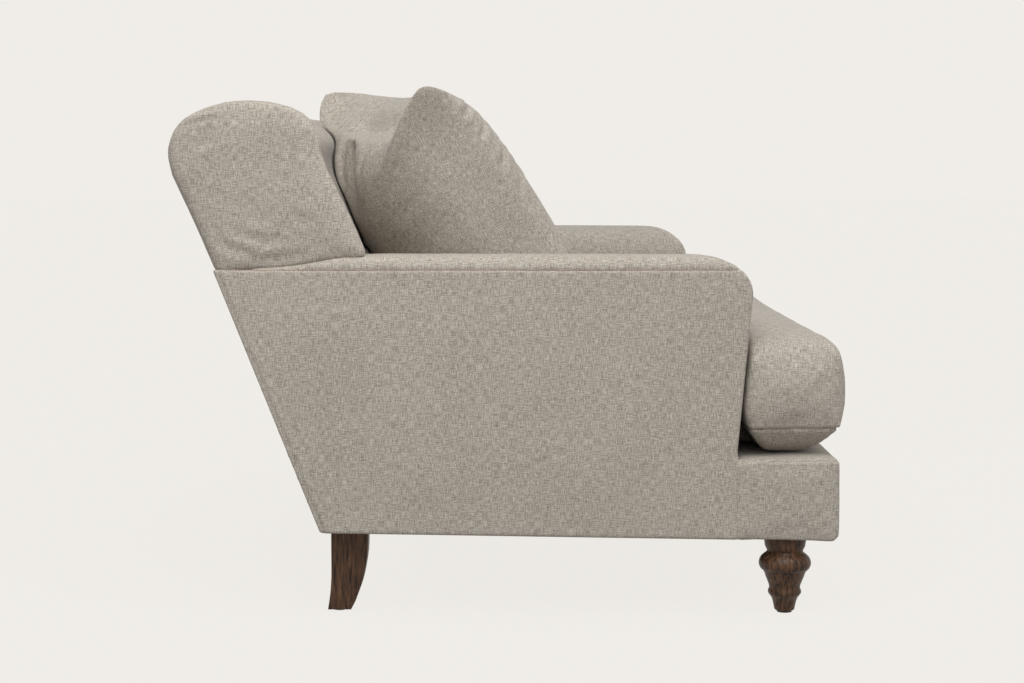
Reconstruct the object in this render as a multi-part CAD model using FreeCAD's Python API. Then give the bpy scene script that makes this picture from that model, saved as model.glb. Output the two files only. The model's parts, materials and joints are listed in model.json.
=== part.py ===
import FreeCAD, Part
import math
import os
from FreeCAD import Vector

# A two-seat roll-arm loveseat, in millimetres.
# +Z is up, the front faces -Y, and the sitter's right-hand side is at -X.
# The origin is on the floor under the middle of the overall width and depth.

# Overall sizes
overall_width = 1400.0        # over the two outside arm panels
overall_depth = 1078.0        # front of the seat cushion to the rearmost point of the back
arm_height = 574.5            # floor to the top of the arm
back_height = 824.0           # floor to the crest of the back, above the arms

# Base
border_setback = 12.0         # front of the seat cushion to the front border's face
underside_front = 121.5       # floor to the underside at the front border
underside_rear = 134.5        # floor to the underside at the rear corner
base_top = 255.0              # top of the front border and of the seat platform
border_edge_radius = 9.0
border_wall = 4.0
rail_thickness = 28.0         # hardwood rails of the base
rail_inset = 10.0             # outside of the cover to the outside of the frame
rail_lift = 4.0               # underside of the cover to the bottom of the rails
rail_top_drop = 14.0          # springs and platform over the top of the rails
centre_rail_height = 64.0
centre_rail_drop = 20.0       # room for the springs to give over the centre rail
block_leg = 95.0              # legs of the triangular corner blocks
block_height = 60.0

# Rake of the back, as run over rise
back_rake = 0.3958
back_overhang = 240.0         # rear bottom corner to the rearmost point of the back
back_thickness = 256.0        # front to rear of the back, measured level, at its ends
back_hollow = 22.0            # how far the middle of the inside back sits behind its ends
crest_dip = 18.0              # how much lower the crest is in the middle than above the arms
back_swell = 6.0              # how far the rolled top overhangs the raked outside back
back_end_inset = 8.0          # rounded end of the back to the outside of the arm
back_end_round = 30.0         # length over which its ends round off
back_end_pull = 26.0          # how far the end section draws in
back_end_step = 10.0          # the same, partway through the rounding
back_end_part = 8.0
back_hollow_start = 40.0      # from the inside of the arm to where the hollow is full

# Rolled top of the back: heights below the crest, and distances level with it
turn_drop_rear = 110.0        # where the raked outside face turns over
turn_drop_front = 81.0        # where the inside face turns over
roll_bow_out = 4.5            # how far the roll stands out behind its turn
roll_bow_rise = 31.0
shoulder_in = 32.0
shoulder_drop = 24.0
crest_in = 116.0              # rear turn to the crest
brow_in = 84.0                # crest to the brow
brow_drop = 13.0
face_bow_in = 12.0
face_bow_drop = 40.0
hollow_at_roll = 0.4          # share of the hollow that the front of the roll takes
roll_centre_drop = 160.0      # middle of the roll, towards which its ends draw in

# Arms
arm_width = 160.0
arm_setback = 177.0           # front of the seat cushion to the arm's front, at the seat platform
arm_lean = 0.09               # how far the front leans out, as run over rise
arm_front_radius = 52.0       # front top corner, seen from the side
arm_roll_radius = 52.0        # inside top edge
arm_outer_radius = 22.0       # outside top edge, from the seam up
panel_thickness = 4.0
cover_thickness = 2.0
arm_hem = 12.0                # cover tucked under the outside panel
arm_pad_top = 26.0            # foam above the arm's top rail
arm_pad_side = 18.0           # foam on the inside of the arm
arm_pad_front = 24.0          # foam ahead of the arm's post
arm_rail_thickness = 25.0
arm_post_width = 50.0
arm_post_depth = 28.0
tack_rail_rise = 30.0
tack_rail_height = 40.0
tack_rail_thickness = 25.0
arm_board_thickness = 2.0

# Back frame, webbing and padding
post_width = 42.0
post_depth = 46.0
back_rail_height = 70.0
seat_rail_rise = 12.0
back_skin = 8.0               # outside back's face to the frame
back_cover_thickness = 3.0
top_rail_drop = 84.0          # crest above the arms to the top of the top rail
back_panel_drop = 6.0
web_thickness = 1.6
web_width = 50.0
web_tail = 15.0
web_columns = 7
web_rows = 4

# Seat springs and platform
spring_count = 6
spring_loops = 7
spring_wire = 3.6
spring_width = 46.0
spring_lead = 36.0            # straight end of the wire before its first loop
spring_seat = 14.0            # how far each end reaches over its rail
spring_side_room = 36.0       # outer springs to the inside of the arms
clip_length = 18.0
clip_width = 20.0
clip_thickness = 1.4
platform_cloth_thickness = 1.6

# Seat cushion
cushion_crown = 468.0         # floor to the top of the crown
cushion_end_top = 443.0       # floor to the top edge at the two ends
cushion_front_top = 447.0     # floor to the top edge at the front
cushion_rear_top = 450.0
cushion_seam = 303.0          # floor to the seam round the bottom edge
cushion_widest = 358.0        # floor to where its sides stand out furthest
cushion_turn_under = 60.0     # how far the bottom draws in from the seam
cushion_side_bulge = 5.0
cushion_side_room = 1.5       # widest part of its ends to the overall width
cushion_corner = 34.0         # plan radius of the front corners
cushion_ear_corner = 18.0     # plan radius of the ears' rear corners
cushion_bow = 8.0             # how far its front swells out
cushion_brow = 34.0           # front or end edge to where the top begins
cushion_shoulder = 28.0       # top edge to where the side turns over
cushion_shoulder_in = 10.0
cushion_shoulder_drop = 9.0
cushion_belly_in = 0.62       # how round the turn under is, as shares of its depth and height
cushion_belly_rise = 0.4
cushion_skin = 2.5

# Scatter cushion
scatter_width = 424.0
scatter_height = 476.0
scatter_thickness = 240.0
scatter_edge = 3.5            # half the thickness at the sewn edge
scatter_draw_in = 42.0        # how far each side is drawn in between the corners
scatter_lean = 39.0           # degrees from upright
scatter_turn = 27.5           # degrees about the vertical, its near side forward
scatter_x = -240.0
scatter_ahead = 184.0         # middle of the cushion to the rear bottom corner, measured level
scatter_rise = 189.0          # crown of the seat to the middle of the cushion
scatter_skin = 2.5
scatter_rim = (0.93, 0.46)    # shoulder of its padding, as shares of the half side and thickness
scatter_shoulder = (0.66, 0.86)
press_gap = 0.5               # between the cushion and what it is pressed flat against

# Turned front legs
front_leg_inset = 45.0        # centre of the leg to the outside of the base
front_leg_setback = 93.5      # front of the seat cushion to the leg's centre
leg_turning = (               # radius and height of each member, and how far the stretch above it swells
    (14.0, 2.0, 0.0), (16.5, 5.0, 0.0), (20.4, 20.0, 0.0), (20.4, 24.0, 0.0), (26.4, 28.0, 0.0),
    (26.4, 33.0, 0.0), (24.6, 37.0, -2.4), (32.0, 60.5, 0.0), (32.0, 66.0, 0.0), (34.5, 67.5, 9.0),
    (31.5, 92.0, 0.0), (28.5, 94.0, -1.8), (33.5, 112.0, 0.0))
turning_step = 3.0            # a swelling stretch gets one more step for each of these
leg_plate_room = 4.0          # length left on each leg before its top is cut to the slope

# Sabre rear legs
rear_leg_inset = 65.0
rear_leg_width_top = 46.0
rear_leg_width_toe = 38.0
rear_leg_front_top = 73.5     # these four are measured ahead of the rear bottom corner
rear_leg_back_top = 12.5
rear_leg_front_toe = 45.5
rear_leg_back_toe = 6.0
rear_leg_front_hollow = 6.5   # how far its front face bows forward
rear_leg_back_hollow = 1.2
rear_leg_waist = 0.42         # height of the narrowest part, as a share of the leg

# Fittings
glide_radius = 12.0
glide_height = 2.0
plate_side = 58.0
plate_thickness = 1.8
bolt_radius = 4.0
bolt_in_leg = 30.0
bolt_in_frame = 34.0
dust_cover_lift = 2.5
dust_cover_thickness = 1.5
zip_height = 6.0
zip_depth = 1.2
zip_length = 460.0

# Clearances
seat_gap = 0.3                # between pieces that lie against each other
loose_gap = 1.0               # round the loose cushions
bore_gap = 0.05               # round the leg bolts
spare = 20.0                  # how far a cutting shape reaches past what it cuts
touch = 0.01                  # two edges this close count as one

half_width = overall_width / 2
half_depth = overall_depth / 2
border_front = half_depth - border_setback
arm_front = half_depth - arm_setback
rear_corner_y = half_depth - back_overhang
frame_side = half_width - rail_inset
frame_front = -border_front + rail_inset
frame_top = base_top - rail_top_drop
rail_inside = frame_side - rail_thickness
post_inside = rail_inside - post_width
back_frame_depth = back_skin + post_depth
web_depth = back_frame_depth + 2 * web_thickness + seat_gap
arm_inside = half_width - arm_width
arm_seam = arm_height - arm_outer_radius
arm_frame_top = arm_height - arm_pad_top
arm_post_front = -arm_front + arm_pad_front
arm_back_joint = arm_height + 1.5
panel_inside = half_width - panel_thickness
underside_slope = (underside_rear - underside_front) / (rear_corner_y + border_front)
spring_height = frame_top + clip_thickness + spring_wire / 2
top_rail_top = back_height - top_rail_drop
front_leg_x = half_width - front_leg_inset
rear_leg_x = half_width - rear_leg_inset
front_leg_y = front_leg_setback - half_depth
rear_bolt_y = rear_corner_y - (rear_leg_front_top + rear_leg_back_top) / 2
half_round = math.sqrt(0.5)

os.makedirs("parts", exist_ok=True)


def save(name, shape):
    shape.exportStep("parts/" + name + ".step")


def polygon(points):
    corners = [Vector(*p) for p in points]
    return Part.Face(Part.makePolygon(corners + corners[:1]))


def prism_x(points, x0, x1):
    """A side profile of (y, z) points, drawn out from x0 to x1."""
    return polygon([(x0, y, z) for y, z in points]).extrude(Vector(x1 - x0, 0, 0))


def prism_z(points, z0, z1):
    """A plan of (x, y) points, raised from z0 to z1."""
    return polygon([(x, y, z0) for x, y in points]).extrude(Vector(0, 0, z1 - z0))


def block(x0, x1, y0, y1, z0, z1):
    return Part.makeBox(x1 - x0, y1 - y0, z1 - z0, Vector(x0, y0, z0))


def line(a, b):
    return Part.LineSegment(Vector(*a), Vector(*b)).toShape()


def arc(a, via, b):
    return Part.Arc(Vector(*a), Vector(*via), Vector(*b)).toShape()


def other_side(shape):
    return shape.mirror(Vector(0, 0, 0), Vector(1, 0, 0))


def both(name, left):
    """Saves a piece of the left-hand side and its mirror image."""
    save(name + "_left", left)
    save(name + "_right", other_side(left))


def underside(y):
    """Height of the base's underside, which rises towards the rear."""
    return underside_front + underside_slope * (y + border_front)


def rear_line(z):
    """Outside face of the raked back."""
    return rear_corner_y + back_rake * (z - underside_rear)


def arm_line(z):
    """Front face of the arm, which leans out as it rises."""
    return -arm_front - arm_lean * (z - base_top)


def bolt_bore(x, y):
    low = Vector(x, y, underside(y) - bolt_in_leg)
    return Part.makeCylinder(bolt_radius + bore_gap, bolt_in_leg + bolt_in_frame + bore_gap, low)


def raked(z0, z1, rear_in, depth, x0, x1):
    """A bar that follows the back's rake, rear_in ahead of the outside back."""
    back0 = rear_line(z0) - rear_in
    back1 = rear_line(z1) - rear_in
    return prism_x([(back0, z0), (back1, z1), (back1 - depth, z1), (back0 - depth, z0)], x0, x1)


# Base frame

def base_rails():
    front_in = frame_front + rail_thickness
    front = prism_x([(frame_front, underside(frame_front) + rail_lift),
                     (front_in, underside(front_in) + rail_lift),
                     (front_in, frame_top), (frame_front, frame_top)], -frame_side, frame_side)
    low = underside_rear + rail_lift
    rear_low = rear_line(low) - back_skin
    rear_top = rear_line(frame_top) - back_skin
    side = prism_x([(front_in, underside(front_in) + rail_lift), (rear_low, low),
                    (rear_top, frame_top), (front_in, frame_top)], rail_inside, frame_side)
    rear = raked(low, frame_top, back_skin, rail_thickness, -post_inside, post_inside)
    centre_top = frame_top - centre_rail_drop
    centre_low = centre_top - centre_rail_height
    butt_low = rear_line(centre_low) - back_skin - rail_thickness
    butt_top = rear_line(centre_top) - back_skin - rail_thickness
    centre = prism_x([(front_in, centre_low), (butt_low, centre_low), (butt_top, centre_top),
                      (front_in, centre_top)], -rail_thickness / 2, rail_thickness / 2)
    save("front_rail", front)
    both("side_rail", side)
    save("rear_rail", rear)
    save("centre_rail", centre)


def corner_blocks():
    front_in = frame_front + rail_thickness
    front_low = underside(front_in + block_leg) + rail_lift
    front = prism_z([(rail_inside, front_in), (rail_inside - block_leg, front_in),
                     (rail_inside, front_in + block_leg)], front_low, front_low + block_height)
    front = front.cut(bolt_bore(front_leg_x, front_leg_y))
    rear_low = underside_rear + rail_lift
    rear_y = rear_line(rear_low) - back_frame_depth
    rear = prism_z([(rail_inside, rear_y), (rail_inside - block_leg, rear_y),
                    (rail_inside, rear_y - block_leg)], rear_low, rear_low + block_height)
    rear = rear.cut(bolt_bore(rear_leg_x, rear_bolt_y))
    save("corner_blocks", Part.makeCompound([front, other_side(front), rear, other_side(rear)]))


# Arms

def arm_side_profile(inset, x0, x1, bottom):
    """The arm seen from the side: leaning front, round top corner, raked rear."""
    top = arm_height - inset
    radius = arm_front_radius - inset
    corner_top = top - radius
    front_low = arm_line(bottom) + inset
    front_high = arm_line(corner_top) + inset
    rear_top = rear_line(top) - back_skin
    rear_low = rear_line(bottom) - back_skin
    bow = radius * (1 - half_round)
    edges = [line((x0, front_low, bottom), (x0, front_high, corner_top)),
             arc((x0, front_high, corner_top), (x0, front_high + bow, top - bow),
                 (x0, front_high + radius, top)),
             line((x0, front_high + radius, top), (x0, rear_top, top)),
             line((x0, rear_top, top), (x0, rear_low, bottom)),
             line((x0, rear_low, bottom), (x0, front_low, bottom))]
    return Part.Face(Part.Wire(edges)).extrude(Vector(x1 - x0, 0, 0))


def arm_section(inset, y0, y1, bottom):
    """The arm seen from the front: rolled inside edge, tight outside edge."""
    top = arm_height - inset
    inner = arm_inside + inset
    roll = arm_roll_radius - inset
    outer = half_width - inset
    edge = arm_outer_radius - inset
    side = panel_inside - inset
    seam = top - edge
    roll_bow = roll * (1 - half_round)
    edge_bow = edge * (1 - half_round)
    edges = [line((inner, y0, bottom), (inner, y0, top - roll)),
             arc((inner, y0, top - roll), (inner + roll_bow, y0, top - roll_bow), (inner + roll, y0, top)),
             line((inner + roll, y0, top), (outer - edge, y0, top)),
             arc((outer - edge, y0, top), (outer - edge_bow, y0, top - edge_bow), (outer, y0, seam)),
             line((outer, y0, seam), (side, y0, seam)),
             line((side, y0, seam), (side, y0, bottom)),
             line((side, y0, bottom), (inner, y0, bottom))]
    return Part.Face(Part.Wire(edges)).extrude(Vector(0, y1 - y0, 0))


def arm_form(inset, bottom):
    side = arm_side_profile(inset, arm_inside - spare, half_width + spare, bottom)
    return side.common(arm_section(inset, -half_depth, half_depth, bottom))


def back_joint_room():
    """Space of the back's frame, which the arm's cover and padding stop at."""
    depth = spare + back_frame_depth + seat_gap
    low = raked(base_top - spare, arm_frame_top, -spare, depth, arm_inside - spare, half_width + spare)
    high = raked(base_top - spare, arm_height + spare, -spare, depth, arm_inside - spare,
                 rail_inside + seat_gap)
    return low.fuse(high)


def arms():
    inner = arm_form(cover_thickness, base_top - spare)
    hem_low = arm_seam - arm_hem
    open_side = block(arm_inside + arm_width / 2, half_width + spare, arm_post_front,
                      half_depth, base_top - spare, hem_low)
    cover = arm_form(0.0, base_top).cut(inner).cut(open_side).cut(back_joint_room())
    cavity = block(arm_inside + arm_pad_side, half_width, arm_post_front, half_depth,
                   base_top - spare, arm_frame_top)
    above = block(0, half_width, -half_depth, half_depth, base_top, arm_height)
    pad = inner.cut(cavity).common(above).cut(back_joint_room())
    both("arm_cover", cover)
    both("arm_pad", pad)
    arm_frame()
    outside_panels(hem_low)


def arm_frame():
    x_in = arm_inside + arm_pad_side
    rail_low = arm_frame_top - arm_rail_thickness
    post_rear = arm_post_front + arm_post_depth
    post_x = frame_side - arm_post_width

    def butt(z):
        return rear_line(z) - back_frame_depth

    top_rail = prism_x([(arm_post_front, rail_low), (butt(rail_low), rail_low),
                        (butt(arm_frame_top), arm_frame_top), (arm_post_front, arm_frame_top)],
                       x_in, frame_side)
    post = block(post_x, frame_side, arm_post_front, post_rear, frame_top, rail_low)
    low = base_top + tack_rail_rise
    high = low + tack_rail_height
    tack = prism_x([(post_rear, low), (butt(low), low), (butt(high), high), (post_rear, high)],
                   post_x, post_x + tack_rail_thickness)
    board = prism_x([(post_rear, low), (butt(low), low), (butt(rail_low), rail_low),
                     (post_rear, rail_low)], x_in, x_in + arm_board_thickness)
    both("arm_top_rail", top_rail)
    both("arm_post", post)
    both("arm_tack_rail", tack)
    both("arm_board", board)


def outside_panels(hem_low):
    """Flat outside panel, from the rear edge to the front border, and its wadding."""
    hem_front = arm_line(arm_seam) + arm_hem
    points = [(-arm_front, underside(-arm_front)), (rear_line(underside_rear), underside_rear),
              (rear_line(arm_seam), arm_seam), (hem_front, arm_seam),
              (arm_line(arm_seam - arm_front_radius / 2), arm_seam - arm_front_radius / 2),
              (arm_line(base_top), base_top)]
    both("outside_arm_panel", prism_x(points, panel_inside, half_width))
    rear = rear_line(underside_rear + rail_lift) - cover_thickness - seat_gap
    rear_high = rear_line(hem_low) - cover_thickness - seat_gap
    front = arm_post_front + seat_gap
    wadding = [(front, underside(front) + rail_lift), (rear, underside_rear + rail_lift),
               (rear_high, hem_low - seat_gap), (front, hem_low - seat_gap)]
    both("arm_wadding", prism_x(wadding, frame_side, panel_inside - cover_thickness))


# Back

def back_profile(x, inset, hollow, dip, bottom, coarse):
    """The back in section at x: raked faces and a plump rolled top."""
    top = back_height - dip
    turn_rear = top - turn_drop_rear
    turn_front = top - turn_drop_front
    rear_high = rear_line(turn_rear) + back_swell
    front_high = rear_line(turn_front) - back_thickness + hollow
    crest = rear_high - crest_in
    brow = crest - brow_in
    centre_y = crest
    centre_z = top - roll_centre_drop

    def pulled(y, z):
        away = math.hypot(centre_y - y, centre_z - z)
        return (x, y + (centre_y - y) * inset / away, z + (centre_z - z) * inset / away)

    def bend(a, via, b):
        return [line(a, via), line(via, b)] if coarse else [arc(a, via, b)]

    low_rear = (x, rear_line(bottom) - inset, bottom)
    low_front = (x, rear_line(bottom) - back_thickness + hollow + inset, bottom)
    at_rear = pulled(rear_high, turn_rear)
    at_shoulder = pulled(rear_high - shoulder_in, top - shoulder_drop)
    at_brow = pulled(brow, top - brow_drop)
    at_front = pulled(front_high, turn_front)
    edges = [line(low_rear, at_rear)]
    edges += bend(at_rear, pulled(rear_high + roll_bow_out, turn_rear + roll_bow_rise), at_shoulder)
    edges += bend(at_shoulder, pulled(crest, top), at_brow)
    face_via = (brow + front_high) / 2 - face_bow_in + hollow * hollow_at_roll
    edges += bend(at_brow, pulled(face_via, top - face_bow_drop), at_front)
    edges += [line(at_front, low_front), line(low_front, low_rear)]
    return Part.Wire(edges)


def back_form(inset, coarse):
    """Upper part over the arms, and the lower part between them, as one solid."""
    reach = half_width - back_end_inset - inset
    rows = [(reach, back_end_pull, 0.0, 0.0), (reach - back_end_part, back_end_step, 0.0, 0.0),
            (reach - back_end_round, 0.0, 0.0, 0.0),
            (arm_inside - back_hollow_start, 0.0, back_hollow, crest_dip)]
    rows = rows + [(-x, pull, hollow, dip) for x, pull, hollow, dip in reversed(rows)]
    wires = [back_profile(x, inset + pull, hollow, dip, arm_back_joint + inset, coarse)
             for x, pull, hollow, dip in rows]
    upper = Part.makeLoft(wires, True, True)
    low = base_top + loose_gap
    side = arm_inside - seat_gap - inset
    high = arm_back_joint + inset

    def face(z):
        return rear_line(z) - back_thickness + back_hollow + inset

    lower = prism_x([(rear_line(low) - inset, low), (rear_line(high) - inset, high),
                     (face(high), high), (face(low), low)], -side, side)
    return upper.fuse(lower).removeSplitter()


def back():
    outer = back_form(0.0, False)
    inner = back_form(back_cover_thickness, True)
    low = base_top - spare
    side = rail_inside + seat_gap
    cavity = raked(low, top_rail_top, -spare, spare + web_depth, -side, side)
    opening = raked(low, top_rail_top - back_panel_drop, -spare, spare + back_cover_thickness,
                    -post_inside, post_inside)
    hem = block(-half_width, half_width, 0, half_depth, low, base_top + seat_rail_rise)
    behind = raked(low, top_rail_top + seat_gap, back_cover_thickness, web_depth, -side, side)
    save("back_cover", outer.cut(inner).cut(opening).cut(behind).cut(hem))
    save("back_pad", inner.cut(cavity).cut(hem))
    back_frame()
    outside_back()


def back_frame():
    top_low = top_rail_top - back_rail_height
    seat_low = base_top + seat_rail_rise
    seat_high = seat_low + back_rail_height
    post = raked(underside_rear + rail_lift, top_rail_top, back_skin, post_depth,
                 post_inside, rail_inside)
    both("back_post", post.cut(bolt_bore(rear_leg_x, rear_bolt_y)))
    save("back_top_rail", raked(top_low, top_rail_top, back_skin, rail_thickness,
                                -post_inside, post_inside))
    save("back_seat_rail", raked(seat_low, seat_high, back_skin, rail_thickness,
                                 -post_inside, post_inside))
    save("back_centre_post", raked(seat_high, top_low, back_skin, rail_thickness,
                                   -post_width / 2, post_width / 2))
    face = back_skin + rail_thickness
    outermost = arm_inside - web_width / 2 - web_tail
    step = 2 * outermost / (web_columns - 1)
    columns = []
    for i in range(web_columns):
        x = -outermost + i * step
        columns.append(raked(seat_low + web_tail, top_rail_top - web_tail, face, web_thickness,
                             x - web_width / 2, x + web_width / 2))
    rise = (top_low - seat_high - web_width) / (web_rows + 1)
    rows = []
    for i in range(web_rows):
        z = seat_high + rise * (i + 1)
        rows.append(raked(z, z + web_width, face + web_thickness, web_thickness,
                          -post_inside, post_inside))
    save("back_webbing", Part.makeCompound(columns))
    save("back_cross_webbing", Part.makeCompound(rows))


def outside_back():
    """Stretched panel and its wadding, wide below the arms and narrower above."""
    low = underside_rear + rail_lift
    high = top_rail_top - back_panel_drop - seat_gap
    wide = raked(low, arm_height, 0, cover_thickness, -panel_inside, panel_inside)
    narrow = raked(arm_height, high, 0, cover_thickness, -post_inside + seat_gap, post_inside - seat_gap)
    save("outside_back_panel", wide.fuse(narrow).removeSplitter())
    save("outside_back_wadding", raked(low, high, cover_thickness, back_skin - cover_thickness,
                                       -post_inside + seat_gap, post_inside - seat_gap))


# Front border, platform and underside

def rounded_box(inset, y1, z0):
    side = half_width - inset
    front = -border_front + inset
    box = block(-side, side, front, y1, z0, base_top - inset)
    edges = []
    for edge in box.Edges:
        at_front = all(abs(v.Y - front) < touch for v in edge.Vertexes)
        if at_front and any(v.Z > z0 + touch for v in edge.Vertexes):
            edges.append(edge)
    return box.makeFillet(border_edge_radius - inset, edges)


def border():
    outer = rounded_box(0.0, -arm_front, underside_front)
    inner = rounded_box(border_wall, 0, underside_front - spare)
    save("front_border_cover", outer.cut(inner))
    low = underside(frame_front) + rail_lift
    save("front_border_pad", block(-frame_side, frame_side, -border_front + border_wall, frame_front,
                                   low, frame_top))
    under_lip = frame_top + clip_thickness * 2 + spring_wire + seat_gap
    save("front_edge_roll", block(-frame_side, frame_side, frame_front, -arm_front,
                                  under_lip, base_top - border_wall))


def platform():
    low = spring_height + spring_wire / 2 + seat_gap
    mid = base_top - platform_cloth_thickness
    rear = rear_line(base_top) - back_thickness + back_hollow
    side = arm_inside - seat_gap
    save("platform_pad", block(-side, side, -arm_front + seat_gap, rear, low, mid))
    save("platform_cloth", block(-side, side, -arm_front + seat_gap, rear, mid, base_top))
    y0 = frame_front
    y1 = rear_line(underside_rear) - back_skin
    low0 = dust_cover_lift
    low1 = dust_cover_lift + dust_cover_thickness
    cloth = prism_x([(y0, underside(y0) + low0), (y1, underside(y1) + low0),
                     (y1, underside(y1) + low1), (y0, underside(y0) + low1)], -frame_side, frame_side)
    room = plate_side / 2 + seat_gap
    for x, y in ((front_leg_x, front_leg_y), (rear_leg_x, rear_bolt_y)):
        notch = block(x - room, half_width, y - room, y + room, 0, base_top)
        cloth = cloth.cut(notch).cut(other_side(notch))
    save("dust_cover", cloth)


# Seat springs, each a wire bent in flat loops, held by a folded clip at both ends

def spring_path(x, start, end):
    pitch = (end - start - 2 * spring_lead) / (spring_loops * 2)
    half = spring_width / 2
    corner = pitch * 0.3
    points = [(x, start), (x, start + spring_lead - pitch / 2)]
    side = 1
    for i in range(spring_loops * 2):
        y = start + spring_lead + (i + 0.5) * pitch
        points.append((x + side * (half - corner), y - pitch / 2))
        points.append((x + side * half, y - pitch / 2 + corner))
        points.append((x + side * half, y + pitch / 2 - corner))
        points.append((x + side * (half - corner), y + pitch / 2))
        side = -side
    points.append((x, end - spring_lead + pitch / 2))
    points.append((x, end))
    return points


def clip(x, y, outward):
    """A folded strip, drawn as its (y, z) outline, open towards the spring."""
    wall = y + outward * clip_length / 2
    mouth = y - outward * clip_length / 2
    fold = wall - outward * clip_thickness
    low = frame_top
    wire_low = low + clip_thickness
    wire_high = wire_low + spring_wire
    points = [(mouth, low), (wall, low), (wall, wire_high + clip_thickness),
              (mouth, wire_high + clip_thickness), (mouth, wire_high), (fold, wire_high),
              (fold, wire_low), (mouth, wire_low)]
    return prism_x(points, x - clip_width / 2, x + clip_width / 2)


def springs():
    start = frame_front + rail_thickness - spring_seat
    end = rear_line(frame_top) - back_skin - rail_thickness + spring_seat
    outermost = arm_inside - spring_side_room
    half = spring_wire / 2
    wires = []
    clips = []
    for i in range(spring_count):
        x = -outermost + 2 * outermost * i / (spring_count - 1)
        points = spring_path(x, start, end)
        path = Part.makePolygon([Vector(px, py, spring_height) for px, py in points])
        square = Part.makePolygon([Vector(x + dx * half, start, spring_height + dz * half)
                                   for dx, dz in ((-1, -1), (1, -1), (1, 1), (-1, 1), (-1, -1))])
        wires.append(path.makePipeShell([square], True, False, 1))
        clips.append(clip(x, start + clip_length / 2 - clip_thickness, -1))
        clips.append(clip(x, end - clip_length / 2 + clip_thickness, 1))
    save("seat_springs", Part.makeCompound(wires))
    save("spring_clips", Part.makeCompound(clips))


# Legs and their fittings

def under_base():
    """Everything below the underside's slope, to trim the tops of the legs."""
    y0 = -border_front
    y1 = rear_line(underside_rear)
    return prism_x([(y0, 0), (y1, 0), (y1, underside(y1)), (y0, underside(y0))], -half_width, half_width)


def turned_outline(members):
    """Outline of a turning: plain stretches are cones, swelling ones bow out or in."""
    points = []
    for low, high in zip(members, members[1:]):
        radius, height, bow = low
        steps = 1 + math.ceil(abs(bow) / turning_step)
        for i in range(steps):
            share = i / steps
            swell = 4 * bow * share * (1 - share)
            points.append((radius + (high[0] - radius) * share + swell, height + (high[1] - height) * share))
    points.append(members[-1][:2])
    return points


def front_leg():
    x = front_leg_x
    y = front_leg_y
    top = underside(y) + leg_plate_room
    members = leg_turning + ((leg_turning[-1][0], top, 0.0),)
    outline = [(0, leg_turning[0][1])] + turned_outline(members) + [(0, top)]
    side = polygon([(radius, 0, z) for radius, z in outline])
    turned = side.revolve(Vector(0, 0, 0), Vector(0, 0, 1), 360)
    turned.translate(Vector(x, y, 0))
    return turned.common(under_base()).cut(bolt_bore(x, y))


def rear_leg():
    """Sabre leg, swept backwards towards the toe and tapered in width."""
    x = rear_leg_x
    top = underside_rear + leg_plate_room
    toe = glide_height
    waist = toe + (top - toe) * rear_leg_waist
    half_top = rear_leg_width_top / 2
    half_toe = rear_leg_width_toe / 2
    x0 = x - half_top
    front_top = rear_corner_y - rear_leg_front_top
    back_top = rear_corner_y - rear_leg_back_top
    front_toe = rear_corner_y - rear_leg_front_toe
    back_toe = rear_corner_y - rear_leg_back_toe
    front_mid = (front_top + front_toe) / 2 - rear_leg_front_hollow
    back_mid = back_top - rear_leg_back_hollow
    edges = [line((x0, front_toe, toe), (x0, back_toe, toe)),
             arc((x0, back_toe, toe), (x0, back_mid, waist), (x0, back_top, top)),
             line((x0, back_top, top), (x0, front_top, top)),
             arc((x0, front_top, top), (x0, front_mid, waist), (x0, front_toe, toe))]
    side = Part.Face(Part.Wire(edges)).extrude(Vector(rear_leg_width_top, 0, 0))
    taper = polygon([(x - half_toe, 0, toe), (x + half_toe, 0, toe), (x + half_top, 0, top),
                     (x - half_top, 0, top)]).extrude(Vector(0, half_depth, 0))
    return side.common(taper).common(under_base()).cut(bolt_bore(x, rear_bolt_y))


def legs():
    turned = front_leg()
    save("front_legs", Part.makeCompound([turned, other_side(turned)]))
    both("rear_leg", rear_leg())
    toe_y = rear_corner_y - (rear_leg_front_toe + rear_leg_back_toe) / 2
    plates = []
    bolts = []
    glides = []
    for x, y, foot_y in ((front_leg_x, front_leg_y, front_leg_y), (rear_leg_x, rear_bolt_y, toe_y)):
        y0 = y - plate_side / 2
        y1 = min(y + plate_side / 2, rear_line(underside_rear) - cover_thickness - seat_gap)
        plate = prism_x([(y0, underside(y0)), (y1, underside(y1)), (y1, underside(y1) + plate_thickness),
                         (y0, underside(y0) + plate_thickness)], x - plate_side / 2, x + plate_side / 2)
        plates.append(plate.cut(bolt_bore(x, y)))
        bolts.append(Part.makeCylinder(bolt_radius, bolt_in_leg + bolt_in_frame,
                                       Vector(x, y, underside(y) - bolt_in_leg)))
        glides.append(Part.makeCylinder(glide_radius, glide_height, Vector(x, foot_y, 0)))
    for name, pieces in (("leg_plates", plates), ("leg_bolts", bolts), ("glides", glides)):
        save(name, Part.makeCompound(pieces + [other_side(p) for p in pieces]))


# Seat cushion: one T-shaped cushion whose ends stand ahead of the arms

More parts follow.
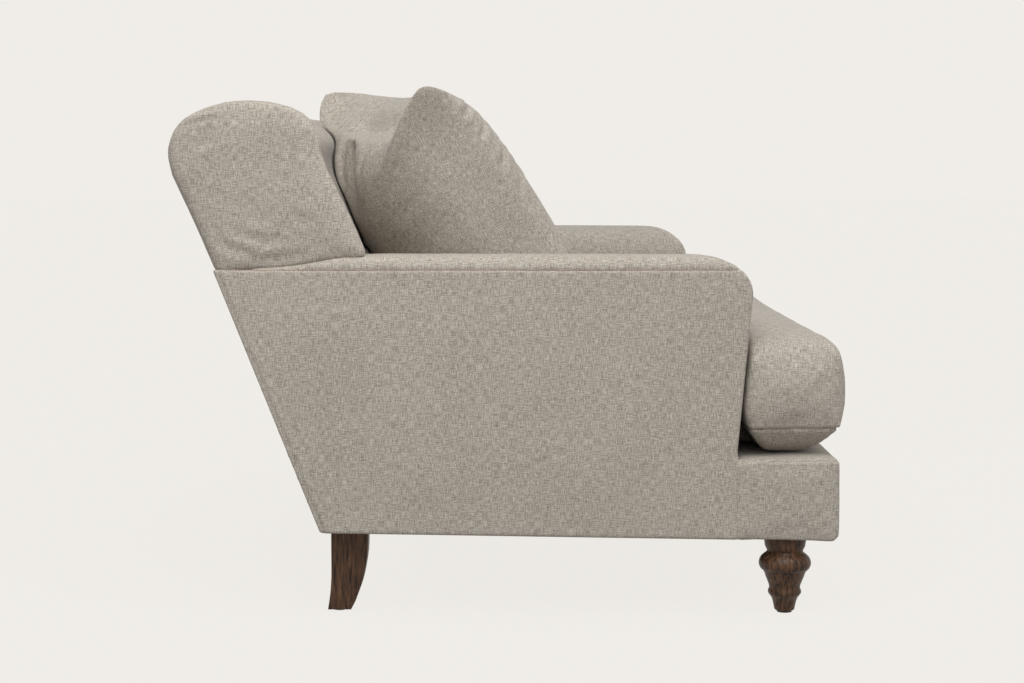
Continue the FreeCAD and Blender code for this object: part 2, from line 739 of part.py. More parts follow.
def cushion_side_profile(inset, x0, x1):
    """The cushion seen from the side: full front, gentle crown, raked rear."""
    bottom = base_top + seat_gap + inset
    seam = cushion_seam
    widest = -half_depth + inset
    front_edge = widest + cushion_bow
    turn = front_edge + cushion_turn_under
    top_edge = cushion_front_top - inset
    crown = cushion_crown - inset
    rear_top = cushion_rear_top - inset

    def rear(z):
        return rear_line(z) - back_thickness + back_hollow - loose_gap - inset

    low_via = (turn - cushion_turn_under * cushion_belly_in, bottom + (seam - bottom) * cushion_belly_rise)
    brow = front_edge + cushion_brow
    high = top_edge - cushion_shoulder
    shoulder = (x0, front_edge + cushion_shoulder_in, top_edge - cushion_shoulder_drop)
    edges = [line((x0, rear(bottom), bottom), (x0, turn, bottom)),
             arc((x0, turn, bottom), (x0, *low_via), (x0, front_edge, seam)),
             arc((x0, front_edge, seam), (x0, widest, cushion_widest), (x0, front_edge, high)),
             arc((x0, front_edge, high), shoulder, (x0, brow, top_edge)),
             arc((x0, brow, top_edge), (x0, (brow + rear(rear_top)) / 2, crown),
                 (x0, rear(rear_top), rear_top)),
             line((x0, rear(rear_top), rear_top), (x0, rear(bottom), bottom))]
    return Part.Face(Part.Wire(edges)).extrude(Vector(x1 - x0, 0, 0))


def cushion_front_profile(inset, y0, y1):
    """The cushion seen from the front: round ends and a crown across the width."""
    bottom = base_top + seat_gap + inset
    side = half_width - cushion_side_room - inset
    edge = side - cushion_side_bulge
    turn = edge - cushion_turn_under
    top_edge = cushion_end_top - inset
    low_via = (turn + cushion_turn_under * cushion_belly_in,
               bottom + (cushion_seam - bottom) * cushion_belly_rise)
    brow = edge - cushion_brow
    crown = cushion_crown - inset
    high = top_edge - cushion_shoulder

    def half(sign):
        return [arc((sign * turn, y0, bottom), (sign * low_via[0], y0, low_via[1]),
                    (sign * edge, y0, cushion_seam)),
                arc((sign * edge, y0, cushion_seam), (sign * side, y0, cushion_widest),
                    (sign * edge, y0, high)),
                arc((sign * edge, y0, high),
                    (sign * (edge - cushion_shoulder_in), y0, top_edge - cushion_shoulder_drop),
                    (sign * brow, y0, top_edge))]

    edges = [line((-turn, y0, bottom), (turn, y0, bottom))] + half(1)
    edges.append(arc((brow, y0, top_edge), (0, y0, crown), (-brow, y0, top_edge)))
    edges += half(-1)
    return Part.Face(Part.Wire(Part.__sortEdges__(edges))).extrude(Vector(0, y1 - y0, 0))


def cushion_outline(inset):
    """The T in plan, as a slanted prism that keeps clear of the leaning arms."""
    side = half_width - inset
    front = -half_depth + inset
    low = base_top - spare
    high = cushion_crown + spare
    ear_low = arm_line(low) - loose_gap - inset
    ear_high = arm_line(high) - loose_gap - inset
    inner = arm_inside - 2 * loose_gap - inset
    ears = prism_x([(front, low), (ear_low, low), (ear_high, high), (front, high)], -side, side)
    corner = cushion_corner - inset
    upright = [e for e in ears.Edges if all(abs(v.Y - front) < touch for v in e.Vertexes)
               and abs(e.Vertexes[0].Z - e.Vertexes[1].Z) > touch]
    ears = ears.makeFillet(corner, upright)
    slanted = [e for e in ears.Edges if abs(e.BoundBox.XLength) < touch
               and e.BoundBox.ZLength > high - low - touch and abs(abs(e.BoundBox.XMin) - side) < touch
               and e.BoundBox.YMax > ear_low - touch]
    ears = ears.makeFillet(cushion_ear_corner - inset, slanted)
    seat = block(-inner, inner, front + corner, half_depth, low, high)
    return ears.fuse(seat)


def cushion_form(inset):
    outline = cushion_outline(inset)
    side = cushion_side_profile(inset, -half_width, half_width)
    front = cushion_front_profile(inset, -half_depth, half_depth)
    return outline.common(side).common(front).removeSplitter()


def seat_cushion():
    core = cushion_form(cushion_skin)
    zip_z = (cushion_seam + cushion_rear_top) / 2

    def zip_strip(grow):
        reach = rear_line(zip_z) - back_thickness + back_hollow - loose_gap
        lean = back_rake * zip_height / 2
        return prism_x([(reach - zip_depth - grow - lean, zip_z - zip_height / 2),
                        (reach - lean, zip_z - zip_height / 2),
                        (reach + lean, zip_z + zip_height / 2),
                        (reach - zip_depth - grow + lean, zip_z + zip_height / 2)],
                       -zip_length / 2, zip_length / 2)

    save("seat_cushion_cover", cushion_form(0.0).cut(core).cut(zip_strip(0.0)))
    save("seat_cushion_core", core)
    save("seat_cushion_zip", zip_strip(0.0))


# Scatter cushion: a square, knife-edged cushion in the right-hand corner

def vault(half_side, edge, full, reach, coarse):
    """A long cushion that fills quickly from its thin sewn edges, drawn out along Y."""
    def stretch(a, via, b):
        return [line(a, via), line(via, b)] if coarse else [arc(a, via, b)]

    def at(share_side, share_full):
        return (share_side * half_side, -reach, share_full * full)

    edges = []
    for sign in (1, -1):
        rim = (scatter_rim[0], sign * scatter_rim[1])
        shoulder = (scatter_shoulder[0], sign * scatter_shoulder[1])
        right = stretch((half_side, -reach, sign * edge), at(*rim), at(*shoulder))
        left = stretch((-half_side, -reach, sign * edge), at(-rim[0], rim[1]), at(-shoulder[0], shoulder[1]))
        edges += right + stretch(at(*shoulder), at(0, sign), at(-shoulder[0], shoulder[1])) + left
    for side in (half_side, -half_side):
        edges.append(line((side, -reach, -edge), (side, -reach, edge)))
    return Part.Face(Part.Wire(Part.__sortEdges__(edges))).extrude(Vector(0, 2 * reach, 0))


def scatter_form(inset, coarse):
    """Made flat: two crossed vaults, thin and drawn in along the sewn edges."""
    half_wide = scatter_width / 2 - inset
    half_high = scatter_height / 2 - inset
    edge = scatter_edge - inset
    full = scatter_thickness / 2 - inset
    reach = max(scatter_width, scatter_height) - inset
    across = vault(half_wide, edge, full, reach, coarse)
    upright = vault(half_high, edge, full, reach, coarse)
    upright.rotate(Vector(0, 0, 0), Vector(0, 0, 1), 90)
    sides = []
    for sign in (-1, 1):
        a = (sign * half_wide, -sign * half_high)
        b = (sign * half_wide, sign * half_high)
        c = (-sign * half_wide, sign * half_high)
        sides.append(arc((*a, -reach), (sign * (half_wide - scatter_draw_in), 0, -reach), (*b, -reach)))
        sides.append(arc((*b, -reach), (0, sign * (half_high - scatter_draw_in), -reach), (*c, -reach)))
    plan = Part.Face(Part.Wire(sides)).extrude(Vector(0, 0, 2 * reach))
    return across.common(upright).common(plan)


def scatter_place(shape):
    """Leans a flat-made cushion back and turns it into its corner."""
    lean = math.radians(scatter_lean)
    turn = math.radians(scatter_turn)
    across = Vector(math.cos(turn), math.sin(turn), 0)
    up = Vector(-math.sin(turn) * math.sin(lean), math.cos(turn) * math.sin(lean), math.cos(lean))
    front = across.cross(up)
    spot = Vector(scatter_x, rear_corner_y - scatter_ahead, cushion_crown + scatter_rise)
    turned = FreeCAD.Matrix(across.x, up.x, front.x, spot.x,
                            across.y, up.y, front.y, spot.y,
                            across.z, up.z, front.z, spot.z,
                            0, 0, 0, 1)
    placed = shape.copy()
    placed.Placement = FreeCAD.Placement(turned)
    return placed


def scatter_room(inset):
    """Space of the back and the seat, which the cushion is pressed flat against."""
    clear = press_gap + inset
    section = back_profile(-half_width, -clear, back_hollow, crest_dip, base_top, False)
    behind = Part.Face(section).extrude(Vector(overall_width, 0, 0))
    return behind.fuse(cushion_form(-clear))


def scatter_cushion():
    outer = scatter_place(scatter_form(0.0, False)).cut(scatter_room(0.0))
    inner = scatter_place(scatter_form(scatter_skin, True)).cut(scatter_room(scatter_skin))
    save("scatter_cushion_cover", outer.cut(inner))
    save("scatter_cushion_inner", inner)


base_rails()
corner_blocks()
arms()
back()
border()
platform()
springs()
legs()
seat_cushion()
scatter_cushion()
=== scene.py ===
import bpy
import bmesh
import json
import math
import numpy as np
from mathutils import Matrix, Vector, noise


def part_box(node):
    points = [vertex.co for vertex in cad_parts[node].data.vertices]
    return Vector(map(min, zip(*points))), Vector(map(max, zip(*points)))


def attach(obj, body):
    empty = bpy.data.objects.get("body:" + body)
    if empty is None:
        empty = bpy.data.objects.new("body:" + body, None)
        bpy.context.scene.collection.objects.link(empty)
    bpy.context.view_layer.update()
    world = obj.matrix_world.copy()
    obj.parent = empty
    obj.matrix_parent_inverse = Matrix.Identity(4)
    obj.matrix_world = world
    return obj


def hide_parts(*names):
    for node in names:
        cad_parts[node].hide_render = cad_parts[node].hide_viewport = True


# A roll-arm loveseat in grey-beige linen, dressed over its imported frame.
# Metres; the front faces -Y, the camera looks along +X at the right-hand side.

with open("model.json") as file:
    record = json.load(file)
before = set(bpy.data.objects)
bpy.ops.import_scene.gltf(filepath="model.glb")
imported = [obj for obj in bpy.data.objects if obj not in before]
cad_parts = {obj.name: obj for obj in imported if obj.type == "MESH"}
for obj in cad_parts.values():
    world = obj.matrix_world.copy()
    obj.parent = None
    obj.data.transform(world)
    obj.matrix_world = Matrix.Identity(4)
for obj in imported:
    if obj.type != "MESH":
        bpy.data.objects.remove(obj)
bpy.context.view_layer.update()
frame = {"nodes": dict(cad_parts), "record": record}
print("stage: frame loaded")

loveseat = {
    "rake": 0.3958,            # run over rise of the raked back
    "rearCorner": (0.299, 0.1345),
    "lean": 0.09,              # run over rise of the arm's leaning front
    "armFront": -0.362,        # at the seat platform
    "platform": 0.255,
    "backThickness": 0.256,
}


def rearLine(z):
    return loveseat["rearCorner"][0] + loveseat["rake"] * (z - loveseat["rearCorner"][1])


def armLine(z):
    return loveseat["armFront"] - loveseat["lean"] * (z - loveseat["platform"])


def undersideAt(y):
    return 0.1215 + 0.01574 * (y + 0.527)


# Modelling helpers

def clearAll():
    if bpy.context.mode != "OBJECT":
        bpy.ops.object.mode_set(mode="OBJECT")
    bpy.ops.object.select_all(action="DESELECT")


def pick(piece):
    clearAll()
    piece.select_set(True)
    bpy.context.view_layer.objects.active = piece


def applyAll(piece):
    pick(piece)
    for modifier in list(piece.modifiers):
        bpy.ops.object.modifier_apply(modifier=modifier.name)


def arcPoints(a, via, b, steps):
    # points on the circle through a, via and b, without b itself
    ax, ay = a
    bx, by = via
    cx, cy = b
    d = 2 * (ax * (by - cy) + bx * (cy - ay) + cx * (ay - by))
    ux = ((ax * ax + ay * ay) * (by - cy) + (bx * bx + by * by) * (cy - ay) + (cx * cx + cy * cy) * (ay - by)) / d
    uy = ((ax * ax + ay * ay) * (cx - bx) + (bx * bx + by * by) * (ax - cx) + (cx * cx + cy * cy) * (bx - ax)) / d
    radius = math.hypot(ax - ux, ay - uy)
    start = math.atan2(ay - uy, ax - ux)
    middle = math.atan2(by - uy, bx - ux)
    end = math.atan2(cy - uy, cx - ux)
    turn = (end - start) % (2 * math.pi)
    if (middle - start) % (2 * math.pi) > turn:
        turn -= 2 * math.pi
    return [(ux + radius * math.cos(start + turn * i / steps),
             uy + radius * math.sin(start + turn * i / steps)) for i in range(steps)]


def faceOutward(piece):
    pick(piece)
    bpy.ops.object.mode_set(mode="EDIT")
    bpy.ops.mesh.select_all(action="SELECT")
    bpy.ops.mesh.normals_make_consistent(inside=False)
    bpy.ops.object.mode_set(mode="OBJECT")


def named(name):
    # the primitive just added, with its own name
    piece = bpy.context.object
    piece.name = name
    piece.data.name = name
    return piece


def roundedCorner(start, corner, end, steps):
    # a quarter turn inside a square corner, from start to end
    bow = 1 - math.sqrt(0.5)
    via = tuple(c + ((a - c) + (b - c)) * bow for a, c, b in zip(start, corner, end))
    return arcPoints(start, via, end, steps) + [end]


def outlinePiece(name, outline, place, push):
    # a closed outline of 2D points, drawn by place(point) and pushed out along push
    clearAll()
    bpy.ops.mesh.primitive_circle_add(vertices=len(outline), fill_type="NGON")
    piece = named(name)
    for vertex, point in zip(piece.data.vertices, outline):
        vertex.co = Vector(place(point))
    piece.location = (0, 0, 0)
    bpy.ops.object.mode_set(mode="EDIT")
    bpy.ops.mesh.select_all(action="SELECT")
    bpy.ops.mesh.extrude_region_move(TRANSFORM_OT_translate={"value": push})
    faceOutward(piece)
    return piece


def sideProfile(name, outline, x0, x1):
    return outlinePiece(name, outline, lambda p: (x0, p[0], p[1]), (x1 - x0, 0, 0))


def frontProfile(name, outline, y0, y1):
    return outlinePiece(name, outline, lambda p: (p[0], y0, p[1]), (0, y1 - y0, 0))


def planProfile(name, outline, z0, z1):
    return outlinePiece(name, outline, lambda p: (p[0], p[1], z0), (0, 0, z1 - z0))


def combine(piece, others, way):
    for other in others:
        cut = piece.modifiers.new(way.lower(), "BOOLEAN")
        cut.operation = way
        cut.solver = "EXACT"
        cut.object = other
        pick(piece)
        bpy.ops.object.modifier_apply(modifier=cut.name)
        bpy.data.objects.remove(other, do_unlink=True)
    return piece


def remeshed(piece, voxel, smoothing):
    remesh = piece.modifiers.new("remesh", "REMESH")
    remesh.mode = "VOXEL"
    remesh.voxel_size = voxel
    remesh.adaptivity = 0
    soften = piece.modifiers.new("soften", "SMOOTH")
    soften.factor = 0.5
    soften.iterations = smoothing
    applyAll(piece)


def subdivided(piece):
    finer = piece.modifiers.new("finer", "SUBSURF")
    finer.levels = 1
    finer.render_levels = 1
    applyAll(piece)


def readPoints(piece):
    points = np.empty(len(piece.data.vertices) * 3)
    piece.data.vertices.foreach_get("co", points)
    return points.reshape(-1, 3)


def readNormals(piece):
    normals = np.empty(len(piece.data.vertices) * 3)
    piece.data.vertices.foreach_get("normal", normals)
    return normals.reshape(-1, 3)


def writePoints(piece, points):
    piece.data.vertices.foreach_set("co", points.reshape(-1))
    piece.data.update()


def smoothStep(value):
    value = np.clip(value, 0, 1)
    return value * value * (3 - 2 * value)


def roughness(points, scale, seed):
    # soft lumps between -1 and 1, one value for each point
    shift = Vector((seed * 3.1, seed * 5.7, seed * 1.3))
    return np.array([noise.noise(Vector(p) * scale + shift) for p in points])


def addLumps(piece, *layers):
    # soft unevenness along the normals: layers of stretch across X, scale, seed and height
    points = readPoints(piece)
    lumps = sum(roughness(points * np.array([stretch, 1.0, 1.0]), scale, seed) * height
                for stretch, scale, seed, height in layers)
    writePoints(piece, points + readNormals(piece) * lumps[:, None])


def puffUp(piece, pressure, cap, hold=None):
    # tight padding: swollen by cloth under pressure, and no point moves past the cap
    rest = readPoints(piece)
    if hold is not None:
        group = piece.vertex_groups.new(name="held")
        group.add([int(i) for i in np.nonzero(hold)[0]], 1.0, "REPLACE")
    cloth = piece.modifiers.new("puff", "CLOTH")
    settings = cloth.settings
    settings.quality = 4
    settings.mass = 0.3
    settings.use_pressure = True
    settings.uniform_pressure_force = pressure
    settings.effector_weights.gravity = 0
    settings.tension_stiffness = 15
    settings.compression_stiffness = 15
    settings.bending_stiffness = 0.5
    if hold is not None:
        settings.vertex_group_mass = "held"
    cloth.point_cache.frame_start = 1
    cloth.point_cache.frame_end = 20
    for step in range(1, 21):
        bpy.context.scene.frame_set(step)
    graph = bpy.context.evaluated_depsgraph_get()
    swollen = piece.evaluated_get(graph).to_mesh()
    moved = np.empty(len(swollen.vertices) * 3)
    swollen.vertices.foreach_get("co", moved)
    moved = moved.reshape(-1, 3) - rest
    piece.evaluated_get(graph).to_mesh_clear()
    piece.modifiers.remove(cloth)
    bpy.context.scene.frame_set(1)
    far = np.linalg.norm(moved, axis=1, keepdims=True)
    writePoints(piece, rest + moved * cap / (cap + far))
    piece.vertex_groups.clear()


def lineDistance(points, path):
    # how far each point lies from a chain of 3D points, and how far along the chain
    path = np.array(path, dtype=float)
    best = np.full(len(points), 9.0)
    along = np.zeros(len(points))
    lengths = np.linalg.norm(path[1:] - path[:-1], axis=1)
    total = lengths.sum()
    run = 0.0
    for a, b, length in zip(path[:-1], path[1:], lengths):
        share = np.clip(((points - a) @ (b - a)) / (length * length), 0, 1)
        away = np.linalg.norm(points - (a + share[:, None] * (b - a)), axis=1)
        nearer = away < best
        best[nearer] = away[nearer]
        along[nearer] = (run + share[nearer] * length) / total
        run += length
    return best, along


def curved(points, steps=10):
    # a smooth chain through a few points
    points = [Vector(p) for p in points]
    ends = [points[0] * 2 - points[1]] + points + [points[-1] * 2 - points[-2]]
    chain = []
    for a, b, c, d in zip(ends, ends[1:], ends[2:], ends[3:]):
        for i in range(steps):
            t = i / steps
            chain.append(0.5 * (b * 2 + (c - a) * t + (a * 2 - b * 5 + c * 4 - d) * t * t
                                + (b * 3 - a - c * 3 + d) * t * t * t))
    chain.append(points[-1])
    return chain


def addFold(piece, path, width, depth, lip=0.5, fade=0.25):
    # a crease of that depth, with a soft lip each side, fading out at both ends
    points = readPoints(piece)
    normals = readNormals(piece)
    onCloth = [piece.closest_point_on_mesh(Vector(spot)) for spot in path]
    away, along = lineDistance(points, [spot[1] for spot in onCloth if spot[0]])
    ends = smoothStep(along / fade) * smoothStep((1 - along) / fade) if fade > 0 else 1.0
    dip = -depth * np.exp(-(away / width) ** 2)
    rise = depth * lip * np.exp(-((away - 2.2 * width) / (1.1 * width)) ** 2)
    writePoints(piece, points + normals * ((dip + rise) * ends)[:, None])


def sinkSeam(piece, away, width, depth, where=1.0):
    # a sewn seam: a narrow valley and a slight swell beside it
    points = readPoints(piece)
    normals = readNormals(piece)
    valley = -depth * np.exp(-(away / width) ** 2)
    swell = depth * 0.35 * np.exp(-((np.abs(away) - 3 * width) / (1.8 * width)) ** 2)
    writePoints(piece, points + normals * ((valley + swell) * where)[:, None])


def layCloth(piece, turn=0.0):
    # UV in metres from the side that each face looks at, so the weave keeps its true scale
    mesh = piece.data
    while mesh.uv_layers:
        mesh.uv_layers.remove(mesh.uv_layers[0])
    layer = mesh.uv_layers.new(name="cloth")
    count = len(mesh.loops)
    corners = np.empty(count, dtype=np.int64)
    mesh.loops.foreach_get("vertex_index", corners)
    points = readPoints(piece)[corners]
    faceNormals = np.empty(len(mesh.polygons) * 3)
    mesh.polygons.foreach_get("normal", faceNormals)
    totals = np.empty(len(mesh.polygons), dtype=np.int64)
    mesh.polygons.foreach_get("loop_total", totals)
    axis = np.repeat(np.abs(faceNormals.reshape(-1, 3)).argmax(axis=1), totals)
    across = np.where(axis == 0, points[:, 1], points[:, 0])
    upward = np.where(axis == 2, points[:, 1], points[:, 2])
    cosine, sine = math.cos(turn), math.sin(turn)
    coords = np.stack([across * cosine - upward * sine, across * sine + upward * cosine], axis=1)
    layer.data.foreach_set("uv", coords.reshape(-1))


def mirrored(piece, name):
    # the same piece for the other side, with its own mesh
    pick(piece)
    bpy.ops.object.duplicate(linked=False)
    twin = named(name)
    for vertex in twin.data.vertices:
        vertex.co.x = -vertex.co.x
    twin.data.flip_normals()
    return twin


def finishSoft(piece, material, body, nodes):
    piece.data.materials.clear()
    piece.data.materials.append(material)
    pick(piece)
    bpy.ops.object.shade_smooth()
    if nodes:
        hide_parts(*nodes)
    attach(piece, body)


def finishPair(piece, twinName, nodes):
    # the finished right-hand piece and its mirror image on the left
    finishSoft(piece, linenFinish, "frame", [node + "_right" for node in nodes])
    twin = mirrored(piece, twinName)
    finishSoft(twin, linenFinish, "frame", [node + "_left" for node in nodes])


def finishHard(piece, material, body, nodes=()):
    piece.data.materials.clear()
    piece.data.materials.append(material)
    if nodes:
        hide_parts(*nodes)
    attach(piece, body)


# Materials

def shadeOf(red, green, blue):
    # a colour as it is seen, 0 to 255, as the shader wants it
    parts = []
    for level in (red, green, blue):
        level = level / 255
        parts.append(level / 12.92 if level <= 0.04045 else ((level + 0.055) / 1.055) ** 2.4)
    return (*parts, 1.0)


def newMaterial(name):
    material = bpy.data.materials.new(name)
    material.use_nodes = True
    tree = material.node_tree
    return material, tree, tree.nodes["Principled BSDF"]


def addNode(tree, kind, **values):
    node = tree.nodes.new(kind)
    for key, value in values.items():
        setattr(node, key, value)
    return node


def noiseNode(tree, source, stretch, scale, detail=2.0, rough=0.5):
    place = addNode(tree, "ShaderNodeMapping")
    place.inputs["Scale"].default_value = stretch
    tree.links.new(source, place.inputs["Vector"])
    grain = addNode(tree, "ShaderNodeTexNoise")
    grain.inputs["Scale"].default_value = scale
    grain.inputs["Detail"].default_value = detail
    grain.inputs["Roughness"].default_value = rough
    tree.links.new(place.outputs["Vector"], grain.inputs["Vector"])
    return grain.outputs["Fac"]


def mathNode(tree, operation, first, second=None):
    node = addNode(tree, "ShaderNodeMath", operation=operation)
    for socket, value in zip(node.inputs, (first, second)):
        if isinstance(value, (int, float)):
            socket.default_value = value
        elif value is not None:
            tree.links.new(value, socket)
    return node.outputs["Value"]


def blendNodes(tree, *parts):
    # the sum of several grains, each with its weight
    total = None
    for source, weight in parts:
        part = mathNode(tree, "MULTIPLY", source, weight)
        total = part if total is None else mathNode(tree, "ADD", total, part)
    return total


def rampNode(tree, source, stops):
    ramp = addNode(tree, "ShaderNodeValToRGB")
    while len(ramp.color_ramp.elements) < len(stops):
        ramp.color_ramp.elements.new(0.5)
    for element, (place, colour) in zip(ramp.color_ramp.elements, stops):
        element.position = place
        element.color = colour
    tree.links.new(source, ramp.inputs["Fac"])
    return ramp.outputs["Color"]


def addBump(tree, shader, height, strength, distance):
    bump = addNode(tree, "ShaderNodeBump")
    bump.inputs["Strength"].default_value = strength
    bump.inputs["Distance"].default_value = distance
    tree.links.new(height, bump.inputs["Height"])
    tree.links.new(bump.outputs["Normal"], shader.inputs["Normal"])


def mixColours(tree, share, first, second):
    mix = addNode(tree, "ShaderNodeMix", data_type="RGBA")
    mix.inputs[0].default_value = share
    tree.links.new(first, mix.inputs[6])
    tree.links.new(second, mix.inputs[7])
    return mix.outputs[2]


linen = {
    "dark": (118, 110, 101),
    "mid": (168, 160, 150),
    "light": (208, 201, 191),
    "warm": (176, 158, 140),
    "cool": (163, 164, 152),
    "pitch": 0.0015,           # from thread to thread
    "bump": 0.35,
}


def linenCloth():
    material, tree, shader = newMaterial("greyBeigeLinen")
    coords = addNode(tree, "ShaderNodeTexCoord")
    uv = coords.outputs["UV"]
    warp = noiseNode(tree, uv, (1.0, 0.10, 1.0), 760, 2.0, 0.6)
    weft = noiseNode(tree, uv, (0.10, 1.0, 1.0), 760, 2.0, 0.6)
    fine = noiseNode(tree, uv, (1.0, 1.0, 1.0), 680, 2.0, 0.7)
    cloudy = noiseNode(tree, uv, (1.0, 1.0, 1.0), 9, 3.0, 0.55)
    tint = noiseNode(tree, uv, (1.0, 0.6, 1.0), 230, 3.0, 0.6)
    threads = blendNodes(tree, (warp, 0.31), (weft, 0.29), (fine, 0.40),
                         (mathNode(tree, "SUBTRACT", cloudy, 0.5), 0.04))
    base = rampNode(tree, threads, [(0.41, shadeOf(*linen["dark"])), (0.50, shadeOf(*linen["mid"])),
                                    (0.59, shadeOf(*linen["light"]))])
    hue = rampNode(tree, tint, [(0.38, shadeOf(*linen["warm"])), (0.62, shadeOf(*linen["cool"]))])
    colour = mixColours(tree, 0.16, base, hue)
    tree.links.new(colour, shader.inputs["Base Color"])
    split = addNode(tree, "ShaderNodeSeparateXYZ")
    tree.links.new(uv, split.inputs["Vector"])
    turns = 2 * math.pi / linen["pitch"]
    weaveU = mathNode(tree, "SINE", mathNode(tree, "MULTIPLY", split.outputs["X"], turns))
    weaveV = mathNode(tree, "SINE", mathNode(tree, "MULTIPLY", split.outputs["Y"], turns))
    weave = mathNode(tree, "MULTIPLY", weaveU, weaveV)
    height = blendNodes(tree, (weave, 0.18), (threads, 1.6))
    addBump(tree, shader, height, linen["bump"], 0.0006)
    shader.inputs["Roughness"].default_value = 0.92
    shader.inputs["Specular IOR Level"].default_value = 0.18
    shader.inputs["Sheen Weight"].default_value = 0.16
    shader.inputs["Sheen Roughness"].default_value = 0.45
    return material


def woodOf(name, dark, light, along, rough, coat):
    # grain drawn out along one axis of the object, 0 for X, 1 for Y, 2 for Z
    material, tree, shader = newMaterial(name)
    coords = addNode(tree, "ShaderNodeTexCoord")
    stretch = [1.0, 1.0, 1.0]
    stretch[along] = 0.10
    streaks = noiseNode(tree, coords.outputs["Object"], tuple(stretch), 210, 5.0, 0.62)
    pores = noiseNode(tree, coords.outputs["Object"], tuple(s * (0.5 if i == along else 1) for i, s in
                                                            enumerate(stretch)), 900, 3.0, 0.6)
    figure = blendNodes(tree, (streaks, 0.8), (pores, 0.2))
    colour = rampNode(tree, figure, [(0.39, shadeOf(*dark)), (0.61, shadeOf(*light))])
    tree.links.new(colour, shader.inputs["Base Color"])
    shader.inputs["Specular IOR Level"].default_value = 0.22
    polish = mathNode(tree, "ADD", mathNode(tree, "MULTIPLY", pores, 0.22), rough)
    tree.links.new(polish, shader.inputs["Roughness"])
    addBump(tree, shader, figure, 0.25, 0.0003)
    shader.inputs["Coat Weight"].default_value = coat
    shader.inputs["Coat Roughness"].default_value = 0.22
    return material


def speckled(name, dark, light, scale, rough, metal=0.0, stretch=(1.0, 1.0, 1.0), depth=0.0004):
    # plain stuff with a fine grain: foam, lining, webbing, zinc or nylon
    material, tree, shader = newMaterial(name)
    coords = addNode(tree, "ShaderNodeTexCoord")
    grain = noiseNode(tree, coords.outputs["Object"], stretch, scale, 4.0, 0.6)
    tree.links.new(rampNode(tree, grain, [(0.35, shadeOf(*dark)), (0.65, shadeOf(*light))]),
                   shader.inputs["Base Color"])
    addBump(tree, shader, grain, 0.4, depth)
    shader.inputs["Roughness"].default_value = rough
    shader.inputs["Metallic"].default_value = metal
    return material


linenFinish = linenCloth()
legWood = woodOf("walnutStain", (28, 15, 8), (104, 74, 52), 2, 0.36, 0.10)
beech = woodOf("planedBeech", (186, 150, 108), (214, 182, 138), 0, 0.55, 0.0)
fibreboard = speckled("hardFibreboard", (132, 104, 74), (158, 130, 96), 420, 0.8)
foam = speckled("foamAndWrap", (222, 214, 190), (240, 235, 218), 700, 0.95)
lining = speckled("blackLining", (20, 20, 21), (38, 38, 40), 1500, 0.95, stretch=(1.0, 0.3, 1.0))
webbing = speckled("wovenWebbing", (88, 74, 56), (122, 106, 82), 900, 0.9, stretch=(1.0, 0.15, 0.15))
zipTape = speckled("zipTape", (128, 120, 110), (158, 150, 138), 1200, 0.8, stretch=(1.0, 0.2, 0.2))
zinc = speckled("zincSteel", (150, 152, 154), (186, 188, 190), 260, 0.34, metal=1.0)
nylon = speckled("darkNylon", (46, 42, 38), (62, 58, 52), 800, 0.5)
threadFinish = speckled("reddishThread", (126, 84, 66), (160, 116, 92), 2600, 0.8)
print("stage: materials made")


# More modelling helpers

def bevelEdges(piece, chosen, width, segments):
    pick(piece)
    bpy.ops.object.mode_set(mode="EDIT")
    bpy.ops.mesh.select_mode(type="EDGE")
    bpy.ops.mesh.select_all(action="DESELECT")
    mesh = bmesh.from_edit_mesh(piece.data)
    for edge in mesh.edges:
        edge.select = chosen(edge.verts[0].co, edge.verts[1].co)
    bmesh.update_edit_mesh(piece.data)
    bpy.ops.mesh.bevel(offset=width, segments=segments, profile=0.5, affect="EDGES")
    bpy.ops.object.mode_set(mode="OBJECT")


def loftPiece(name, loops):
    # one ring of points, extruded from loop to loop and closed at both ends
    clearAll()
    bpy.ops.mesh.primitive_circle_add(vertices=len(loops[0]), fill_type="NGON")
    piece = named(name)
    bpy.ops.object.mode_set(mode="EDIT")
    bpy.ops.mesh.select_all(action="SELECT")
    for _ in loops[1:]:
        bpy.ops.mesh.extrude_region_move(TRANSFORM_OT_translate={"value": (0, 0, 0.1)})
    bpy.ops.object.mode_set(mode="OBJECT")
    for vertex, point in zip(piece.data.vertices, [p for loop in loops for p in loop]):
        vertex.co = Vector(point)
    faceOutward(piece)
    return piece


def cutLines(piece, levels):
    # edge loops at level planes, where a fine seam is to lie
    pick(piece)
    bpy.ops.object.mode_set(mode="EDIT")
    for level in levels:
        bpy.ops.mesh.select_all(action="SELECT")
        bpy.ops.mesh.bisect(plane_co=(0, 0, level), plane_no=(0, 0, 1))
    bpy.ops.object.mode_set(mode="OBJECT")


def keptClear(piece, other, gap, ease):
    # pressed against its neighbour: no point comes nearer to it than the gap
    points = readPoints(piece)
    for i, point in enumerate(points):
        found, spot, normal = other.closest_point_on_mesh(Vector(point), distance=0.20)[:3]
        if found:
            depth = gap - (Vector(point) - spot).dot(normal)
            push = (depth + math.sqrt(depth * depth + ease * ease)) / 2
            points[i] = Vector(point) + normal * push
    writePoints(piece, points)


